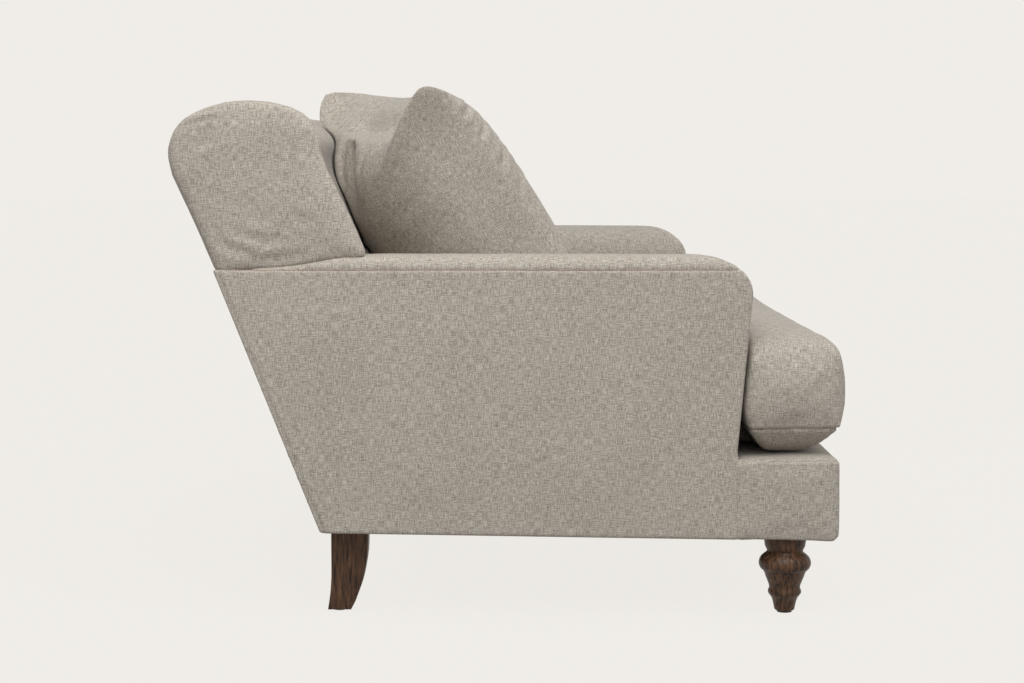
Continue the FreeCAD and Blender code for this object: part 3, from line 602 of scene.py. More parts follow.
def stitchRow(name, start, pitch, count, length, thickness, ground):
    # one short stitch, repeated along -Y, each copy laid on the cloth under it
    clearAll()
    bpy.ops.mesh.primitive_uv_sphere_add(segments=6, ring_count=4, radius=0.5)
    row = named(name)
    bpy.ops.transform.resize(value=(thickness, length, thickness))
    bpy.ops.transform.translate(value=start)
    bpy.ops.object.transform_apply(location=True, rotation=True, scale=True)
    each = len(row.data.vertices)
    repeat = row.modifiers.new("repeat", "ARRAY")
    repeat.use_relative_offset = False
    repeat.use_constant_offset = True
    repeat.constant_offset_displace = (0, -pitch, 0)
    repeat.count = count
    applyAll(row)
    points = readPoints(row)
    for first in range(0, len(points), each):
        middle = points[first:first + each].mean(axis=0)
        hits = [piece.ray_cast(Vector((-0.80, middle[1], middle[2])), Vector((1, 0, 0))) for piece in ground]
        faces = [hit[1].x for hit in hits if hit[0]] + [start[0] + 0.004]
        points[first:first + each, 0] += min(faces) - middle[0]
    writePoints(row, points)
    finishHard(row, threadFinish, "frame")
    return row


# Arms

arm = {
    "inner": 0.540,
    "outer": 0.7004,
    "skirt": 0.6900,           # its outside below the seam, behind the outside panel
    "top": 0.5745,
    "roll": 0.052,             # inside top edge
    "outerEdge": 0.018,        # outside top edge
    "frontRound": (0.075, 0.060),   # front top corner from the side: run and rise
    "crease": ((0.217, 0.263, 0.288, 0.326, 0.356, 0.425, 0.462),
               (0.5745, 0.5725, 0.5685, 0.5615, 0.5585, 0.5535, 0.5480)),   # under the end of the back
    "seam": 0.5525,
    "voxel": 0.0075,
    "puff": 0.003,
    "stitchPitch": 0.0046,
}


def armFrontAt(z):
    # the leaning front and its rounded top corner
    run, rise = arm["frontRound"]
    share = np.clip((z - arm["top"] + rise) / rise, 0, 1)
    return armLine(np.minimum(z, arm["top"] - rise)) + run * (1 - np.sqrt(1 - share * share))


def creaseAt(y):
    return np.interp(y, *arm["crease"])


def frontOutline(z0, z1):
    # points up the front of the arm, close together round the corner
    bend = arm["top"] - arm["frontRound"][1]
    heights = [z0] + [bend + arm["frontRound"][1] * math.sin(i * math.pi / 24) for i in range(13)]
    return [(float(armFrontAt(z)), z) for z in heights if z0 <= z < z1] + [(float(armFrontAt(z1)), z1)]


def makeArm():
    top, seam = arm["top"], arm["seam"]
    low = loveseat["platform"] + 0.0005
    side = [(rearLine(low) - 0.006, low)] + frontOutline(low, top - 0.0001)
    side += [(y, z) for y, z in zip(*arm["crease"])][:-1] + [(rearLine(0.5485) - 0.006, 0.5485)]
    roll, edge = arm["roll"], arm["outerEdge"]
    inner, outer = -arm["inner"], -arm["outer"]
    front = [(inner, low - 0.01)]
    front += roundedCorner((inner, top - roll), (inner, top), (inner - roll, top), 10)
    front += roundedCorner((outer + edge, top), (outer, top), (outer, top - edge), 6)
    front += [(outer, seam - 0.002), (-arm["skirt"], seam - 0.002), (-arm["skirt"], low - 0.01)]
    piece = sideProfile("armCover_right", side, -0.53, -0.71)
    combine(piece, [frontProfile("armFrontForm", front, -0.60, 0.60)], "INTERSECT")
    remeshed(piece, arm["voxel"], 3)
    points = readPoints(piece)
    hold = (points[:, 2] < 0.30) | (points[:, 1] > rearLine(points[:, 2]) - 0.03)
    hold |= (points[:, 0] < -0.68) & (points[:, 2] < seam + 0.010)
    puffUp(piece, 3.0, arm["puff"], hold)
    subdivided(piece)
    addLumps(piece, (1.0, 7.0, 3, 0.0010), (1.0, 19.0, 4, 0.0004))
    layCloth(piece)
    finishPair(piece, "armCover_left", ("arm_cover", "arm_pad"))
    print("stage: arms made")
    return piece


# Outside arm panels

panel = {
    "face": 0.7003,
    "depth": 0.012,
    "cells": (138, 78),        # along and up
    "heelRound": 0.012,
    "edgeRound": 0.0050,
    "welt": 0.0058,            # rear seam to the rear edge
    "frontLow": -0.3650,       # its front edge beside the border
    "wrinkles": ((-0.352, 0.512, 0.545, 0.0010), (-0.362, 0.500, 0.540, 0.0013),
                 (-0.371, 0.490, 0.528, 0.0013)),      # by the front edge: y, low, high, depth
}


def panelGrid():
    # a flat grid drawn into the panel's outline, from the rear edge to the front
    clearAll()
    bpy.ops.mesh.primitive_grid_add(x_subdivisions=panel["cells"][0], y_subdivisions=panel["cells"][1], size=1)
    piece = named("outsidePanel_right")
    grid = readPoints(piece)
    along, up = grid[:, 0] + 0.5, grid[:, 1] + 0.5
    top = arm["seam"] + 0.0015
    heelZ, toeZ = undersideAt(loveseat["rearCorner"][0]), undersideAt(panel["frontLow"])
    rearZ = heelZ + (top - heelZ) * up
    frontZ = toeZ + (top - toeZ) * up
    join = smoothStep((frontZ - loveseat["platform"]) / 0.012)
    frontY = panel["frontLow"] * (1 - join) + (armFrontAt(frontZ) - 0.0006) * join
    y = rearLine(rearZ) * (1 - along) + frontY * along
    z = rearZ * (1 - along) + frontZ * along
    writePoints(piece, np.stack([np.full(len(y), -panel["face"]), y, z], axis=1))
    pick(piece)
    bpy.ops.object.mode_set(mode="EDIT")
    bpy.ops.mesh.select_all(action="SELECT")
    bpy.ops.mesh.extrude_region_move(TRANSFORM_OT_translate={"value": (panel["depth"], 0, 0)})
    faceOutward(piece)
    return piece


def roundedHeel(points):
    # the rear bottom corner, round in side view
    radius = panel["heelRound"]
    slant = math.hypot(1, loveseat["rake"])
    low = undersideAt(loveseat["rearCorner"][0])
    centreZ = low + radius
    centreY = rearLine(centreZ) - radius * slant
    dy, dz = points[:, 1] - centreY, points[:, 2] - centreZ
    far = np.hypot(dy, dz)
    beyond = (far > radius) & (dz < 0) & (dy > 0)
    share = np.where(beyond, radius / np.maximum(far, 1e-6), 1)
    points[:, 1] = centreY + dy * share
    points[:, 2] = centreZ + dz * share


def makeOutsidePanel():
    seam = arm["seam"]
    piece = panelGrid()
    subdivided(piece)
    points = readPoints(piece)
    roundedHeel(points)
    y, z = points[:, 1], points[:, 2]
    slant = math.hypot(1, loveseat["rake"])
    fromRear = (rearLine(z) - y) / slant
    fromFront = y - np.where(z < loveseat["platform"], panel["frontLow"], armFrontAt(z))
    edge = np.minimum(np.minimum(fromRear, z - undersideAt(y)), np.minimum(seam + 0.0015 - z, fromFront))
    radius = panel["edgeRound"]
    turned = radius - np.sqrt(radius ** 2 - (radius - np.clip(edge, 0, radius)) ** 2)
    points[:, 0] = np.maximum(points[:, 0], -panel["face"] + turned)
    writePoints(piece, points)
    outside = smoothStep((-0.6965 - points[:, 0]) / 0.003)
    sinkSeam(piece, fromRear - panel["welt"], 0.0026, 0.0016, outside)
    points = readPoints(piece)
    swell = smoothStep(edge / 0.12) * 0.0016
    lumps = roughness(points * np.array([1.0, 1.0, 0.55]), 5.0, 11) * 0.0009
    lumps += roughness(points * np.array([1.0, 0.5, 1.6]), 12.0, 12) * 0.0003
    points[:, 0] -= (swell + lumps) * outside
    writePoints(piece, points)
    for y0, z0, z1, depth in panel["wrinkles"]:
        addFold(piece, curved([(-0.7010, y0, z0), (-0.7010, y0 + 0.003, (z0 + z1) / 2),
                               (-0.7005, y0 + 0.008, z1)]), 0.0032, depth, 0.6)
    layCloth(piece)
    finishPair(piece, "outsidePanel_left", ("outside_arm_panel", "arm_wadding"))
    print("stage: outside panels made")
    return piece


def makeStitches(ground):
    start = (-0.7010, 0.436, arm["seam"] + 0.0006)
    row = stitchRow("armStitch_right", start, arm["stitchPitch"], 174, 0.0030, 0.0010, ground)
    twin = mirrored(row, "armStitch_left")
    finishHard(twin, threadFinish, "frame")
    print("stage: stitches made")


# Front border

border = {
    "front": -0.5285,
    "rear": -0.3600,
    "side": 0.6999,
    "topRound": 0.010,
    "lowRound": 0.010,
    "corner": 0.009,
    "seamDrop": 0.0045,        # seam below its top edge
    "voxel": 0.0072,
}


def makeBorder():
    front, rear, top = border["front"], border["rear"], loveseat["platform"]
    low = undersideAt(front)
    high, under = border["topRound"], border["lowRound"]
    side = [(rear, low)]
    side += roundedCorner((front + under, low), (front, low), (front, low + under), 5)
    side += roundedCorner((front, top - high), (front, top), (front + high, top), 6)
    side += [(rear, top - 0.0025)]
    corner, wide = border["corner"], border["side"]
    plan = [(-wide, rear + 0.01)]
    plan += roundedCorner((-wide, front + corner), (-wide, front), (-wide + corner, front), 6)
    plan += roundedCorner((wide - corner, front), (wide, front), (wide, front + corner), 6)
    plan += [(wide, rear + 0.01)]
    piece = sideProfile("frontBorder", side, -0.72, 0.72)
    combine(piece, [planProfile("borderPlan", plan, 0.0, 0.4)], "INTERSECT")
    remeshed(piece, border["voxel"], 2)
    points = readPoints(piece)
    share = smoothStep((0.20 - points[:, 2]) / 0.08)
    points[:, 2] += share * (undersideAt(points[:, 1]) - low)
    writePoints(piece, points)
    puffUp(piece, 2.0, 0.0018, points[:, 1] > rear - 0.008)
    subdivided(piece)
    seam = top - border["seamDrop"]
    cutLines(piece, (seam - 0.0014, seam, seam + 0.0014))
    points = readPoints(piece)
    x, y = np.abs(points[:, 0]), points[:, 1]
    outer = np.maximum(smoothStep((x - wide + 0.008) / 0.005), smoothStep((front + 0.010 - y) / 0.006))
    sinkSeam(piece, points[:, 2] - seam, 0.0013, 0.0017, outer * (points[:, 2] < top - 0.001))
    addLumps(piece, (0.6, 9.0, 21, 0.0010), (1.0, 26.0, 22, 0.0003))
    layCloth(piece)
    finishSoft(piece, linenFinish, "frame",
               ["front_border_cover", "front_border_pad", "front_edge_roll"])
    print("stage: front border made")


# Back

back = {
    "crest": 0.824,
    "reach": 0.692,
    "joint": 0.5755,           # its underside, on the arms
    "inside": 0.5395,          # half the width between the arms
    "endSet": 0.005,           # how far its ends sit behind the face
    "sunk": 0.020,             # how much deeper it is behind the cushions
    "hollow": 0.022,           # how far the middle of the inside face sits behind its ends
    "dip": 0.018,              # how much lower the crest is in the middle
    "pressed": 0.0030,         # how far its ends press on the arms
    "sag": 0.010,              # how much lower its far end has settled
    "endRound": 0.030,
    "voxel": 0.0088,
    "puff": 0.005,
}

backFolds = {                  # y and z of each path, then width and depth where they differ
    "edge": [(0.392, 0.8165), (0.373, 0.8150), (0.350, 0.8080), (0.337, 0.8000), (0.325, 0.7840),
             (0.311, 0.7690), (0.297, 0.7530), (0.285, 0.7380), (0.263, 0.6910), (0.243, 0.6430),
             (0.228, 0.6030), (0.221, 0.5820)],
    "wrinkles": (
        (((0.516, 0.768), (0.502, 0.782), (0.488, 0.788), (0.469, 0.791), (0.454, 0.792), (0.438, 0.7905)),
         0.0036, 0.0024),
        (((0.498, 0.742), (0.478, 0.752), (0.452, 0.757)), 0.0060, 0.0012),
        (((0.466, 0.603), (0.437, 0.588), (0.414, 0.582), (0.388, 0.572)), 0.0062, 0.0022),
        (((0.444, 0.616), (0.412, 0.606), (0.372, 0.598), (0.340, 0.600)), 0.0070, 0.0018),
        (((0.420, 0.570), (0.380, 0.568), (0.330, 0.576), (0.285, 0.590)), 0.0060, 0.0018),
        (((0.352, 0.640), (0.322, 0.632), (0.292, 0.634)), 0.0080, 0.0014)),
    "brow": ((0.646, 0.004, 0.0030), (0.628, 0.010, 0.0024), (0.600, 0.016, 0.0020)),   # x, shift, depth
    "crest": ((0.42, 0.330, 0.10, 0.345, 0.0026), (-0.05, 0.352, -0.36, 0.338, 0.0028),
              (0.30, 0.372, -0.10, 0.380, 0.0020), (0.52, 0.318, 0.30, 0.322, 0.0024)),
}


def backOutline(pull, frontPull):
    # section of the rolled top: pull draws in the rear and the crest, frontPull the brow and front
    top = back["crest"]
    turnRear, turnFront = top - 0.110, top - 0.081
    rearHigh = rearLine(turnRear) + 0.006
    frontHigh = rearLine(turnFront) - loveseat["backThickness"]
    crest = rearHigh - 0.116
    brow = crest - 0.084
    centreY, centreZ = crest, top - 0.160

    def drawn(y, z, amount):
        away = math.hypot(centreY - y, centreZ - z)
        return (y + (centreY - y) * amount / away, z + (centreZ - z) * amount / away)

    low = back["joint"]
    middle = (pull + frontPull) / 2
    corner = [(rearLine(low) - pull, low)]
    rise = drawn(rearHigh, turnRear, pull)
    shoulder = drawn(rearHigh - 0.032, top - 0.024, pull)
    forehead = drawn(brow, top - 0.013, middle)
    face = drawn(frontHigh, turnFront, frontPull)
    outline = corner + arcPoints(rise, drawn(rearHigh + 0.0045, turnRear + 0.031, pull), shoulder, 8)
    outline += arcPoints(shoulder, drawn(crest, top, pull), forehead, 14)
    cheek = drawn((brow + frontHigh) / 2 - 0.012, top - 0.040, frontPull)
    outline += arcPoints(forehead, cheek, face, 10) + [face]
    outline += [(rearLine(low) - loveseat["backThickness"] + frontPull, low)]
    return outline


def makeBack():
    loops = []
    steps = 7
    stations = []
    for i in range(steps + 1):
        angle = i / steps * math.pi / 2
        stations.append((back["reach"] - back["endRound"] * (1 - math.cos(angle)), 1 - math.sin(angle)))
    for x, share in stations:
        loops.append([(-x, y, z) for y, z in backOutline(0.012 * share, 0.012 * share)])
    for x, share in reversed(stations):
        loops.append([(x, y, z) for y, z in backOutline(0.012 * share, 0.012 * share)])
    piece = loftPiece("insideBack", loops)
    low = loveseat["platform"] + 0.002
    high = back["joint"] + 0.06

    def face(z):
        return rearLine(z) - loveseat["backThickness"] + back["hollow"]

    lower = sideProfile("lowerBack", [(rearLine(low) - 0.006, low), (rearLine(high) - 0.006, high),
                                      (face(high), high), (face(low), low)], -back["inside"], back["inside"])
    combine(piece, [lower], "UNION")
    remeshed(piece, back["voxel"], 3)
    points = readPoints(piece)
    y, z = points[:, 1].copy(), points[:, 2].copy()
    inward = smoothStep((0.684 - np.abs(points[:, 0])) / 0.048)
    onArm = smoothStep((np.abs(points[:, 0]) - 0.536) / 0.012) * (1 - smoothStep((z - back["joint"]) / 0.075))
    upper = smoothStep((z - 0.562) / 0.014)
    forward = np.clip((rearLine(z) - y) / loveseat["backThickness"], 0, 1)
    sunk = back["sunk"] * smoothStep((z - 0.47) / 0.10) * (1 - smoothStep((z - 0.70) / 0.09))
    held = (inward * back["hollow"] + (1 - inward) * back["endSet"] * smoothStep((z - 0.60) / 0.15)) * upper
    points[:, 1] = y + (held + inward * sunk) * forward
    points[:, 2] = z - inward * back["dip"] * smoothStep((z - 0.60) / 0.20)
    drop = onArm * (back["joint"] + back["pressed"] - creaseAt(y))
    points[:, 2] -= drop
    points[:, 1] -= drop * loveseat["rake"]
    points[:, 2] -= back["sag"] * smoothStep((points[:, 0] - 0.40) / 0.20) * smoothStep((z - 0.62) / 0.16)
    writePoints(piece, points)
    hold = (points[:, 2] < 0.30) | ((points[:, 1] > rearLine(points[:, 2]) - 0.02) & (points[:, 2] < 0.70))
    hold |= (points[:, 2] < creaseAt(points[:, 1]) + 0.006) & (np.abs(points[:, 0]) > 0.54)
    puffUp(piece, 3.5, back["puff"], hold)
    subdivided(piece)
    shapeBackEnds(piece)
    addLumps(piece, (0.7, 6.0, 31, 0.0018), (1.0, 17.0, 32, 0.0006))
    layCloth(piece)
    finishSoft(piece, linenFinish, "frame", ["back_cover", "back_pad"])
    print("stage: back made")
    return piece


def shapeBackEnds(piece):
    # the deep fold along the front edge of each end, and the wrinkles round it
    line = backFolds["edge"]
    for side in (-1, 1):
        addFold(piece, curved([(side * 0.664, y + 0.002, z) for y, z in line], 5), 0.0075, 0.0110, 0.25, 0.16)
        addFold(piece, curved([(side * 0.655, y + 0.004, z) for y, z in line[4:]], 5), 0.0120, 0.0080, 0.0, 0.25)
        for spots, width, depth in backFolds["wrinkles"]:
            addFold(piece, curved([(side * 0.700, y, z) for y, z in spots]), width, depth, 0.8, 0.4)
        for across, shift, depth in backFolds["brow"]:
            addFold(piece, curved([(side * across, 0.385 + shift, 0.818), (side * across, 0.352 + shift, 0.812),
                                   (side * (across - 0.004), 0.322 + shift, 0.792),
                                   (side * (across - 0.010), 0.300 + shift, 0.764)]), 0.0048, depth, 0.8, 0.35)
    for x0, y0, x1, y1, depth in backFolds["crest"]:
        addFold(piece, curved([(x0, y0, 0.82), ((x0 + x1) / 2, (y0 + y1) / 2 + 0.006, 0.82), (x1, y1, 0.82)]),
                0.0110, depth, 0.7, 0.45)


# Outside back

def makeOutsideBack():
    top = 0.7335
    low = loveseat["rearCorner"][1]
    wide, narrow, shoulder = 0.6965, 0.6196, 0.5475

    def raisedBoard(name, half, z0, z1):
        outline = [(rearLine(z0) - 0.012, z0), (rearLine(z0) + 0.0002, z0), (rearLine(z1) + 0.0002, z1),
                   (rearLine(z1) - 0.012, z1)]
        return sideProfile(name, outline, -half, half)

    piece = raisedBoard("outsideBack", wide, low, shoulder)
    combine(piece, [raisedBoard("outsideBackTop", narrow, shoulder - 0.03, top)], "UNION")
    remeshed(piece, 0.0074, 2)
    points = readPoints(piece)
    x, z = np.abs(points[:, 0]), points[:, 2]
    outward = smoothStep((points[:, 1] - rearLine(z) + 0.005) / 0.004)
    edge = np.where(z < shoulder, wide - x, narrow - x)
    inward = np.minimum(np.minimum(z - low, top - z), edge)
    swell = smoothStep(inward / 0.15) * 0.0022
    lumps = roughness(points * np.array([0.6, 1.0, 1.0]), 5.0, 41) * 0.0012
    writePoints(piece, points + readNormals(piece) * ((swell + lumps) * outward)[:, None])
    layCloth(piece)
    finishSoft(piece, linenFinish, "frame", ["outside_back_panel", "outside_back_wadding"])
    print("stage: outside back made")


# Seat cushion

seat = {
    "crown": 0.468,
    "endTop": 0.443,
    "frontTop": 0.447,
    "rearTop": 0.450,
    "seam": 0.300,
    "widest": 0.358,
    "turnUnder": 0.060,
    "front": -0.5420,
    "corner": 0.024,
    "earCorner": 0.014,
    "voxel": 0.0088,
    "inset": 0.0035,           # it starts smaller, because it swells
    "puff": 0.008,
    "heel": [(-0.4140, 0.20), (-0.4050, 0.2715), (-0.3955, 0.2800), (-0.3860, 0.2935), (-0.3790, 0.3110)],
    "folds": ((-0.505, 0.392, 0.05, 0.0018), (-0.470, 0.335, 0.06, 0.0014),
              (-0.415, 0.400, 0.05, 0.0014)),          # on its ends: y, top, length, depth
}


def seatEdgeArcs(edge, outer, turn, bottom, topEdge, brow, sign):
    # from under the cushion, round the seam and the swollen side, to its top edge
    seam = seat["seam"] + 0.003
    lowVia = (turn + (edge - turn) * 0.62, bottom + (seam - bottom) * 0.4)
    flat = arcPoints((turn, bottom), lowVia, (edge, seam), 8)
    flat += arcPoints((edge, seam), (outer, seat["widest"]), (edge, topEdge - 0.028), 10)
    shoulder = edge - 0.010 * sign
    flat += arcPoints((edge, topEdge - 0.028), (shoulder, topEdge - 0.009), (brow, topEdge), 6)
    return flat


def makeSeatCushion():
    inset = seat["inset"]
    bottom = loveseat["platform"] + 0.0008 + inset * 0.3
    front = seat["front"] + inset
    edge = front + 0.008
    brow = edge + 0.034

    def rear(z):
        return rearLine(z) - loveseat["backThickness"] + back["hollow"] - 0.0012 - inset

    topEdge = seat["frontTop"] - inset
    rearTop = seat["rearTop"] - inset
    crown = seat["crown"] - inset
    side = seatEdgeArcs(edge, front, edge + seat["turnUnder"], bottom, topEdge, brow, -1)
    side += arcPoints((brow, topEdge), ((brow + rear(rearTop)) / 2, crown), (rear(rearTop), rearTop), 20)
    side += [(rear(rearTop), rearTop), (rear(bottom), bottom)]
    wide = 0.6985 - inset
    sideEdge = wide - 0.005
    sideBrow = sideEdge - 0.034
    endTop = seat["endTop"] - inset
    right = seatEdgeArcs(sideEdge, wide, sideEdge - seat["turnUnder"], bottom, endTop, sideBrow, 1)
    across = list(right) + arcPoints((sideBrow, endTop), (0, crown), (-sideBrow, endTop), 24)
    across += [(-x, z) for x, z in reversed(right)]
    across = across[:-1] + [(-(sideEdge - seat["turnUnder"]), bottom)]
    gap = 0.0012 + inset
    low, high = 0.20, 0.52
    ears = sideProfile("cushionEars", [(front - 0.02, low)] + seat["heel"] + [(armLine(0.332) - gap, 0.332),
                       (armLine(high) - gap, high), (front - 0.02, high)], -wide - 0.001, wide + 0.001)
    bevelEdges(ears, lambda a, b: abs(a.x - b.x) < 1e-5 and abs(a.z - b.z) > 0.1 and min(a.y, b.y) > -0.5,
               seat["earCorner"], 5)
    inner = 0.538 - inset
    body = planProfile("cushionBody", [(-inner, front - 0.01), (inner, front - 0.01), (inner, 0.4), (-inner, 0.4)],
                       low + 0.001, high - 0.001)
    combine(ears, [body], "UNION")
    corner = seat["corner"]
    corners = [(-wide, 0.4)]
    corners += roundedCorner((-wide, front + corner), (-wide, front), (-wide + corner, front), 8)
    corners += roundedCorner((wide - corner, front), (wide, front), (wide, front + corner), 8)
    corners += [(wide, 0.4)]
    piece = sideProfile("seatCushion", side, -0.71, 0.71)
    parts = [frontProfile("cushionAcross", across, -0.60, 0.50), ears,
             planProfile("cushionCorners", corners, low - 0.01, high + 0.01)]
    combine(piece, parts, "INTERSECT")
    remeshed(piece, seat["voxel"], 4)
    points = readPoints(piece)
    hold = (points[:, 2] < bottom + 0.004) | (points[:, 1] > rear(points[:, 2]) - 0.004)
    hold |= (points[:, 1] > armLine(points[:, 2]) - gap - 0.004) & (np.abs(points[:, 0]) > 0.56)
    hold |= (points[:, 1] > armLine(points[:, 2]) + 0.02) & (np.abs(points[:, 0]) > inner - 0.004)
    puffUp(piece, 4.0, seat["puff"], hold)
    subdivided(piece)
    cutLines(piece, (seat["seam"] - 0.0016, seat["seam"], seat["seam"] + 0.0016))
    points = readPoints(piece)
    around = smoothStep((armLine(points[:, 2]) - 0.004 - points[:, 1]) / 0.006)
    sinkSeam(piece, points[:, 2] - seat["seam"], 0.0015, 0.0023, around)
    for y, z, length, depth in seat["folds"]:
        for end in (-1, 1):
            addFold(piece, curved([(end * 0.699, y, z), (end * 0.700, y + 0.012, z - length / 2),
                                   (end * 0.698, y + 0.016, z - length)]), 0.010, depth, 0.6, 0.45)
    addLumps(piece, (0.7, 5.5, 51, 0.0022), (1.0, 15.0, 52, 0.0007))
    layCloth(piece)
    finishSoft(piece, linenFinish, "seat_cushion", ["seat_cushion_cover", "seat_cushion_core"])
    print("stage: seat cushion made")
    return piece


# Scatter cushion

scatter = {
    "centre": (-0.2680, 0.1206, 0.6818),
    "turn": math.radians(27.8),
    "lean": math.radians(39.2),
    "half": 0.208,
    "above": 0.208,            # from the centre to its top edge
    "below": 0.262,
    "drawIn": 0.045,
    "thickness": 0.240,
    "fullness": 0.324,
    "rearBulge": 1.46,         # how much fuller the sheet behind is
    "frontBulge": 0.95,
    "cornerTrim": 0.10,        # how far its near upper corner is drawn in, as a share
    "edgeDip": 0.012,          # in its top edge, beside that corner
    "gather": 0.0022,
    "clear": 0.0025,           # from the back and the seat cushion
    "seamSunk": 0.018,         # valley along the near half of its top seam
    "seamBack": 0.034,         # how far the middle of that seam is drawn to the rear
    "chop": 0.42,              # the dent behind, under the middle of its top edge
    "edge": 0.0022,            # half the thickness at the sewn edge
    "cells": 76,
    "folds": ((-0.98, 0.55, -0.70, 0.66, 1, 0.0030), (-0.98, 0.30, -0.66, 0.46, 1, 0.0034),
              (-0.98, -0.02, -0.60, 0.16, 1, 0.0032), (-0.98, -0.30, -0.55, -0.10, 1, 0.0030),
              (0.28, 0.98, 0.16, 0.62, -1, 0.0036), (0.44, 0.98, 0.40, 0.56, -1, 0.0030),
              (-0.30, 0.98, -0.34, 0.70, -1, 0.0026)),   # from, to, front or rear, depth
}


def scatterAxes():
    turn, lean = scatter["turn"], scatter["lean"]
    across = Vector((math.cos(turn), math.sin(turn), 0))
    upward = Vector((-math.sin(turn) * math.sin(lean), math.cos(turn) * math.sin(lean), math.cos(lean)))
    return across, upward, across.cross(upward)


def puckers(u, v, sheet):
    # small gathers along the sewn edges, uneven in pitch and depth
    gathers = np.zeros(len(u))
    for near, along, seed in ((u, v, 1.7), (v, u, 4.3)):
        for end in (-1, 1):
            depth = np.exp(-(1 - end * near) / 0.16) * smoothStep((1 - end * near) / 0.03)
            waves = np.sin(along * 19 + seed * end + sheet) * 0.6
            waves += np.sin(along * 33 + seed * 2 * end - sheet) * 0.4
            gathers += depth * waves * (1 - along ** 6)
    return gathers


def makeScatter(backPiece, seatPiece):
    across, upward, facing = scatterAxes()
    cells = scatter["cells"]
    clearAll()
    bpy.ops.mesh.primitive_grid_add(x_subdivisions=cells, y_subdivisions=cells, size=2)
    piece = named("scatterCushion")
    bpy.ops.object.mode_set(mode="EDIT")
    bpy.ops.mesh.select_all(action="SELECT")
    bpy.ops.mesh.extrude_region_move(TRANSFORM_OT_translate={"value": (0, 0, 1)})
    bpy.ops.object.mode_set(mode="OBJECT")
    grid = readPoints(piece)
    u, v = [np.sign(g) * (1 - (1 - np.abs(g)) ** 1.35) for g in (grid[:, 0], grid[:, 1])]
    sheet = np.where(grid[:, 2] > 0.5, 1.0, -1.0)
    pinch = scatter["drawIn"]
    shapeU = u * (scatter["half"] - pinch * (1 - v ** 4))
    shapeU *= np.where(u < 0, 1 - scatter["cornerTrim"] * v.clip(0) ** 6, 1)
    shapeV = v * (np.where(v > 0, scatter["above"], scatter["below"]) - pinch * (1 - u ** 4))
    shapeV -= scatter["edgeDip"] * v.clip(0) ** 2 * np.exp(-((u + 0.62) / 0.24) ** 2)
    nearTop = np.exp(-(1 - v.clip(0)) / 0.006) * smoothStep((u + 0.97) / 0.15) * smoothStep((0.5 - u) / 0.3)
    shapeV -= scatter["seamSunk"] * nearTop
    dome = ((1 - np.abs(u) ** 2.4) * (1 - np.abs(v) ** 2.4)).clip(0) ** scatter["fullness"]
    chop = np.exp(-((u - 0.16 + 0.3 * (1 - v)) / 0.22) ** 2) * smoothStep((v - 0.36) / 0.50)
    chop += 0.25 * smoothStep((u - 0.5) / 0.4) * smoothStep((v - 0.5) / 0.3)
    bulge = np.where(sheet > 0, scatter["rearBulge"] * (1 - scatter["chop"] * chop), scatter["frontBulge"])
    lift = dome * (scatter["thickness"] / 2 * bulge - scatter["edge"]) + scatter["edge"]
    lift += puckers(u, v, sheet) * scatter["gather"]
    drawn = scatter["seamBack"] * np.exp(-((u - 0.05) / 0.50) ** 2) * np.exp(-(1 - v.clip(0)) / 0.08)
    body = np.outer(shapeU, across) + np.outer(shapeV, upward) - np.outer(sheet * lift + drawn, facing)
    writePoints(piece, body + np.array(scatter["centre"]))
    faceOutward(piece)
    for neighbour in (backPiece, seatPiece):
        keptClear(piece, neighbour, scatter["clear"], 0.006)
    puffUp(piece, 2.5, 0.004, np.maximum(np.abs(u), np.abs(v)) > 0.999)
    subdivided(piece)
    spot = np.array(scatter["centre"])
    for u0, v0, u1, v1, front, depth in scatter["folds"]:
        path = []
        for i in range(9):
            a, b = u0 + (u1 - u0) * i / 8, v0 + (v1 - v0) * i / 8
            rise = ((1 - abs(a) ** 2.4) * (1 - abs(b) ** 2.4)) ** scatter["fullness"] * scatter["thickness"] / 2
            rise *= scatter["frontBulge"] if front > 0 else scatter["rearBulge"]
            path.append(spot + np.array(across) * a * (scatter["half"] - pinch * (1 - b ** 4))
                        + np.array(upward) * b * (scatter["above"] - pinch * (1 - a ** 4))
                        + np.array(facing) * rise * front)
        addFold(piece, path, 0.0065, depth, 0.6, 0.3)
    keptClear(piece, backPiece, 0.0015, 0.0015)
    addLumps(piece, (1.0, 9.0, 61, 0.0020), (1.0, 21.0, 62, 0.0007))
    layCloth(piece, 0.3)
    finishSoft(piece, linenFinish, "scatter_cushion",
               ["scatter_cushion_cover", "scatter_cushion_inner"])
    print("stage: scatter cushion made")


# Legs

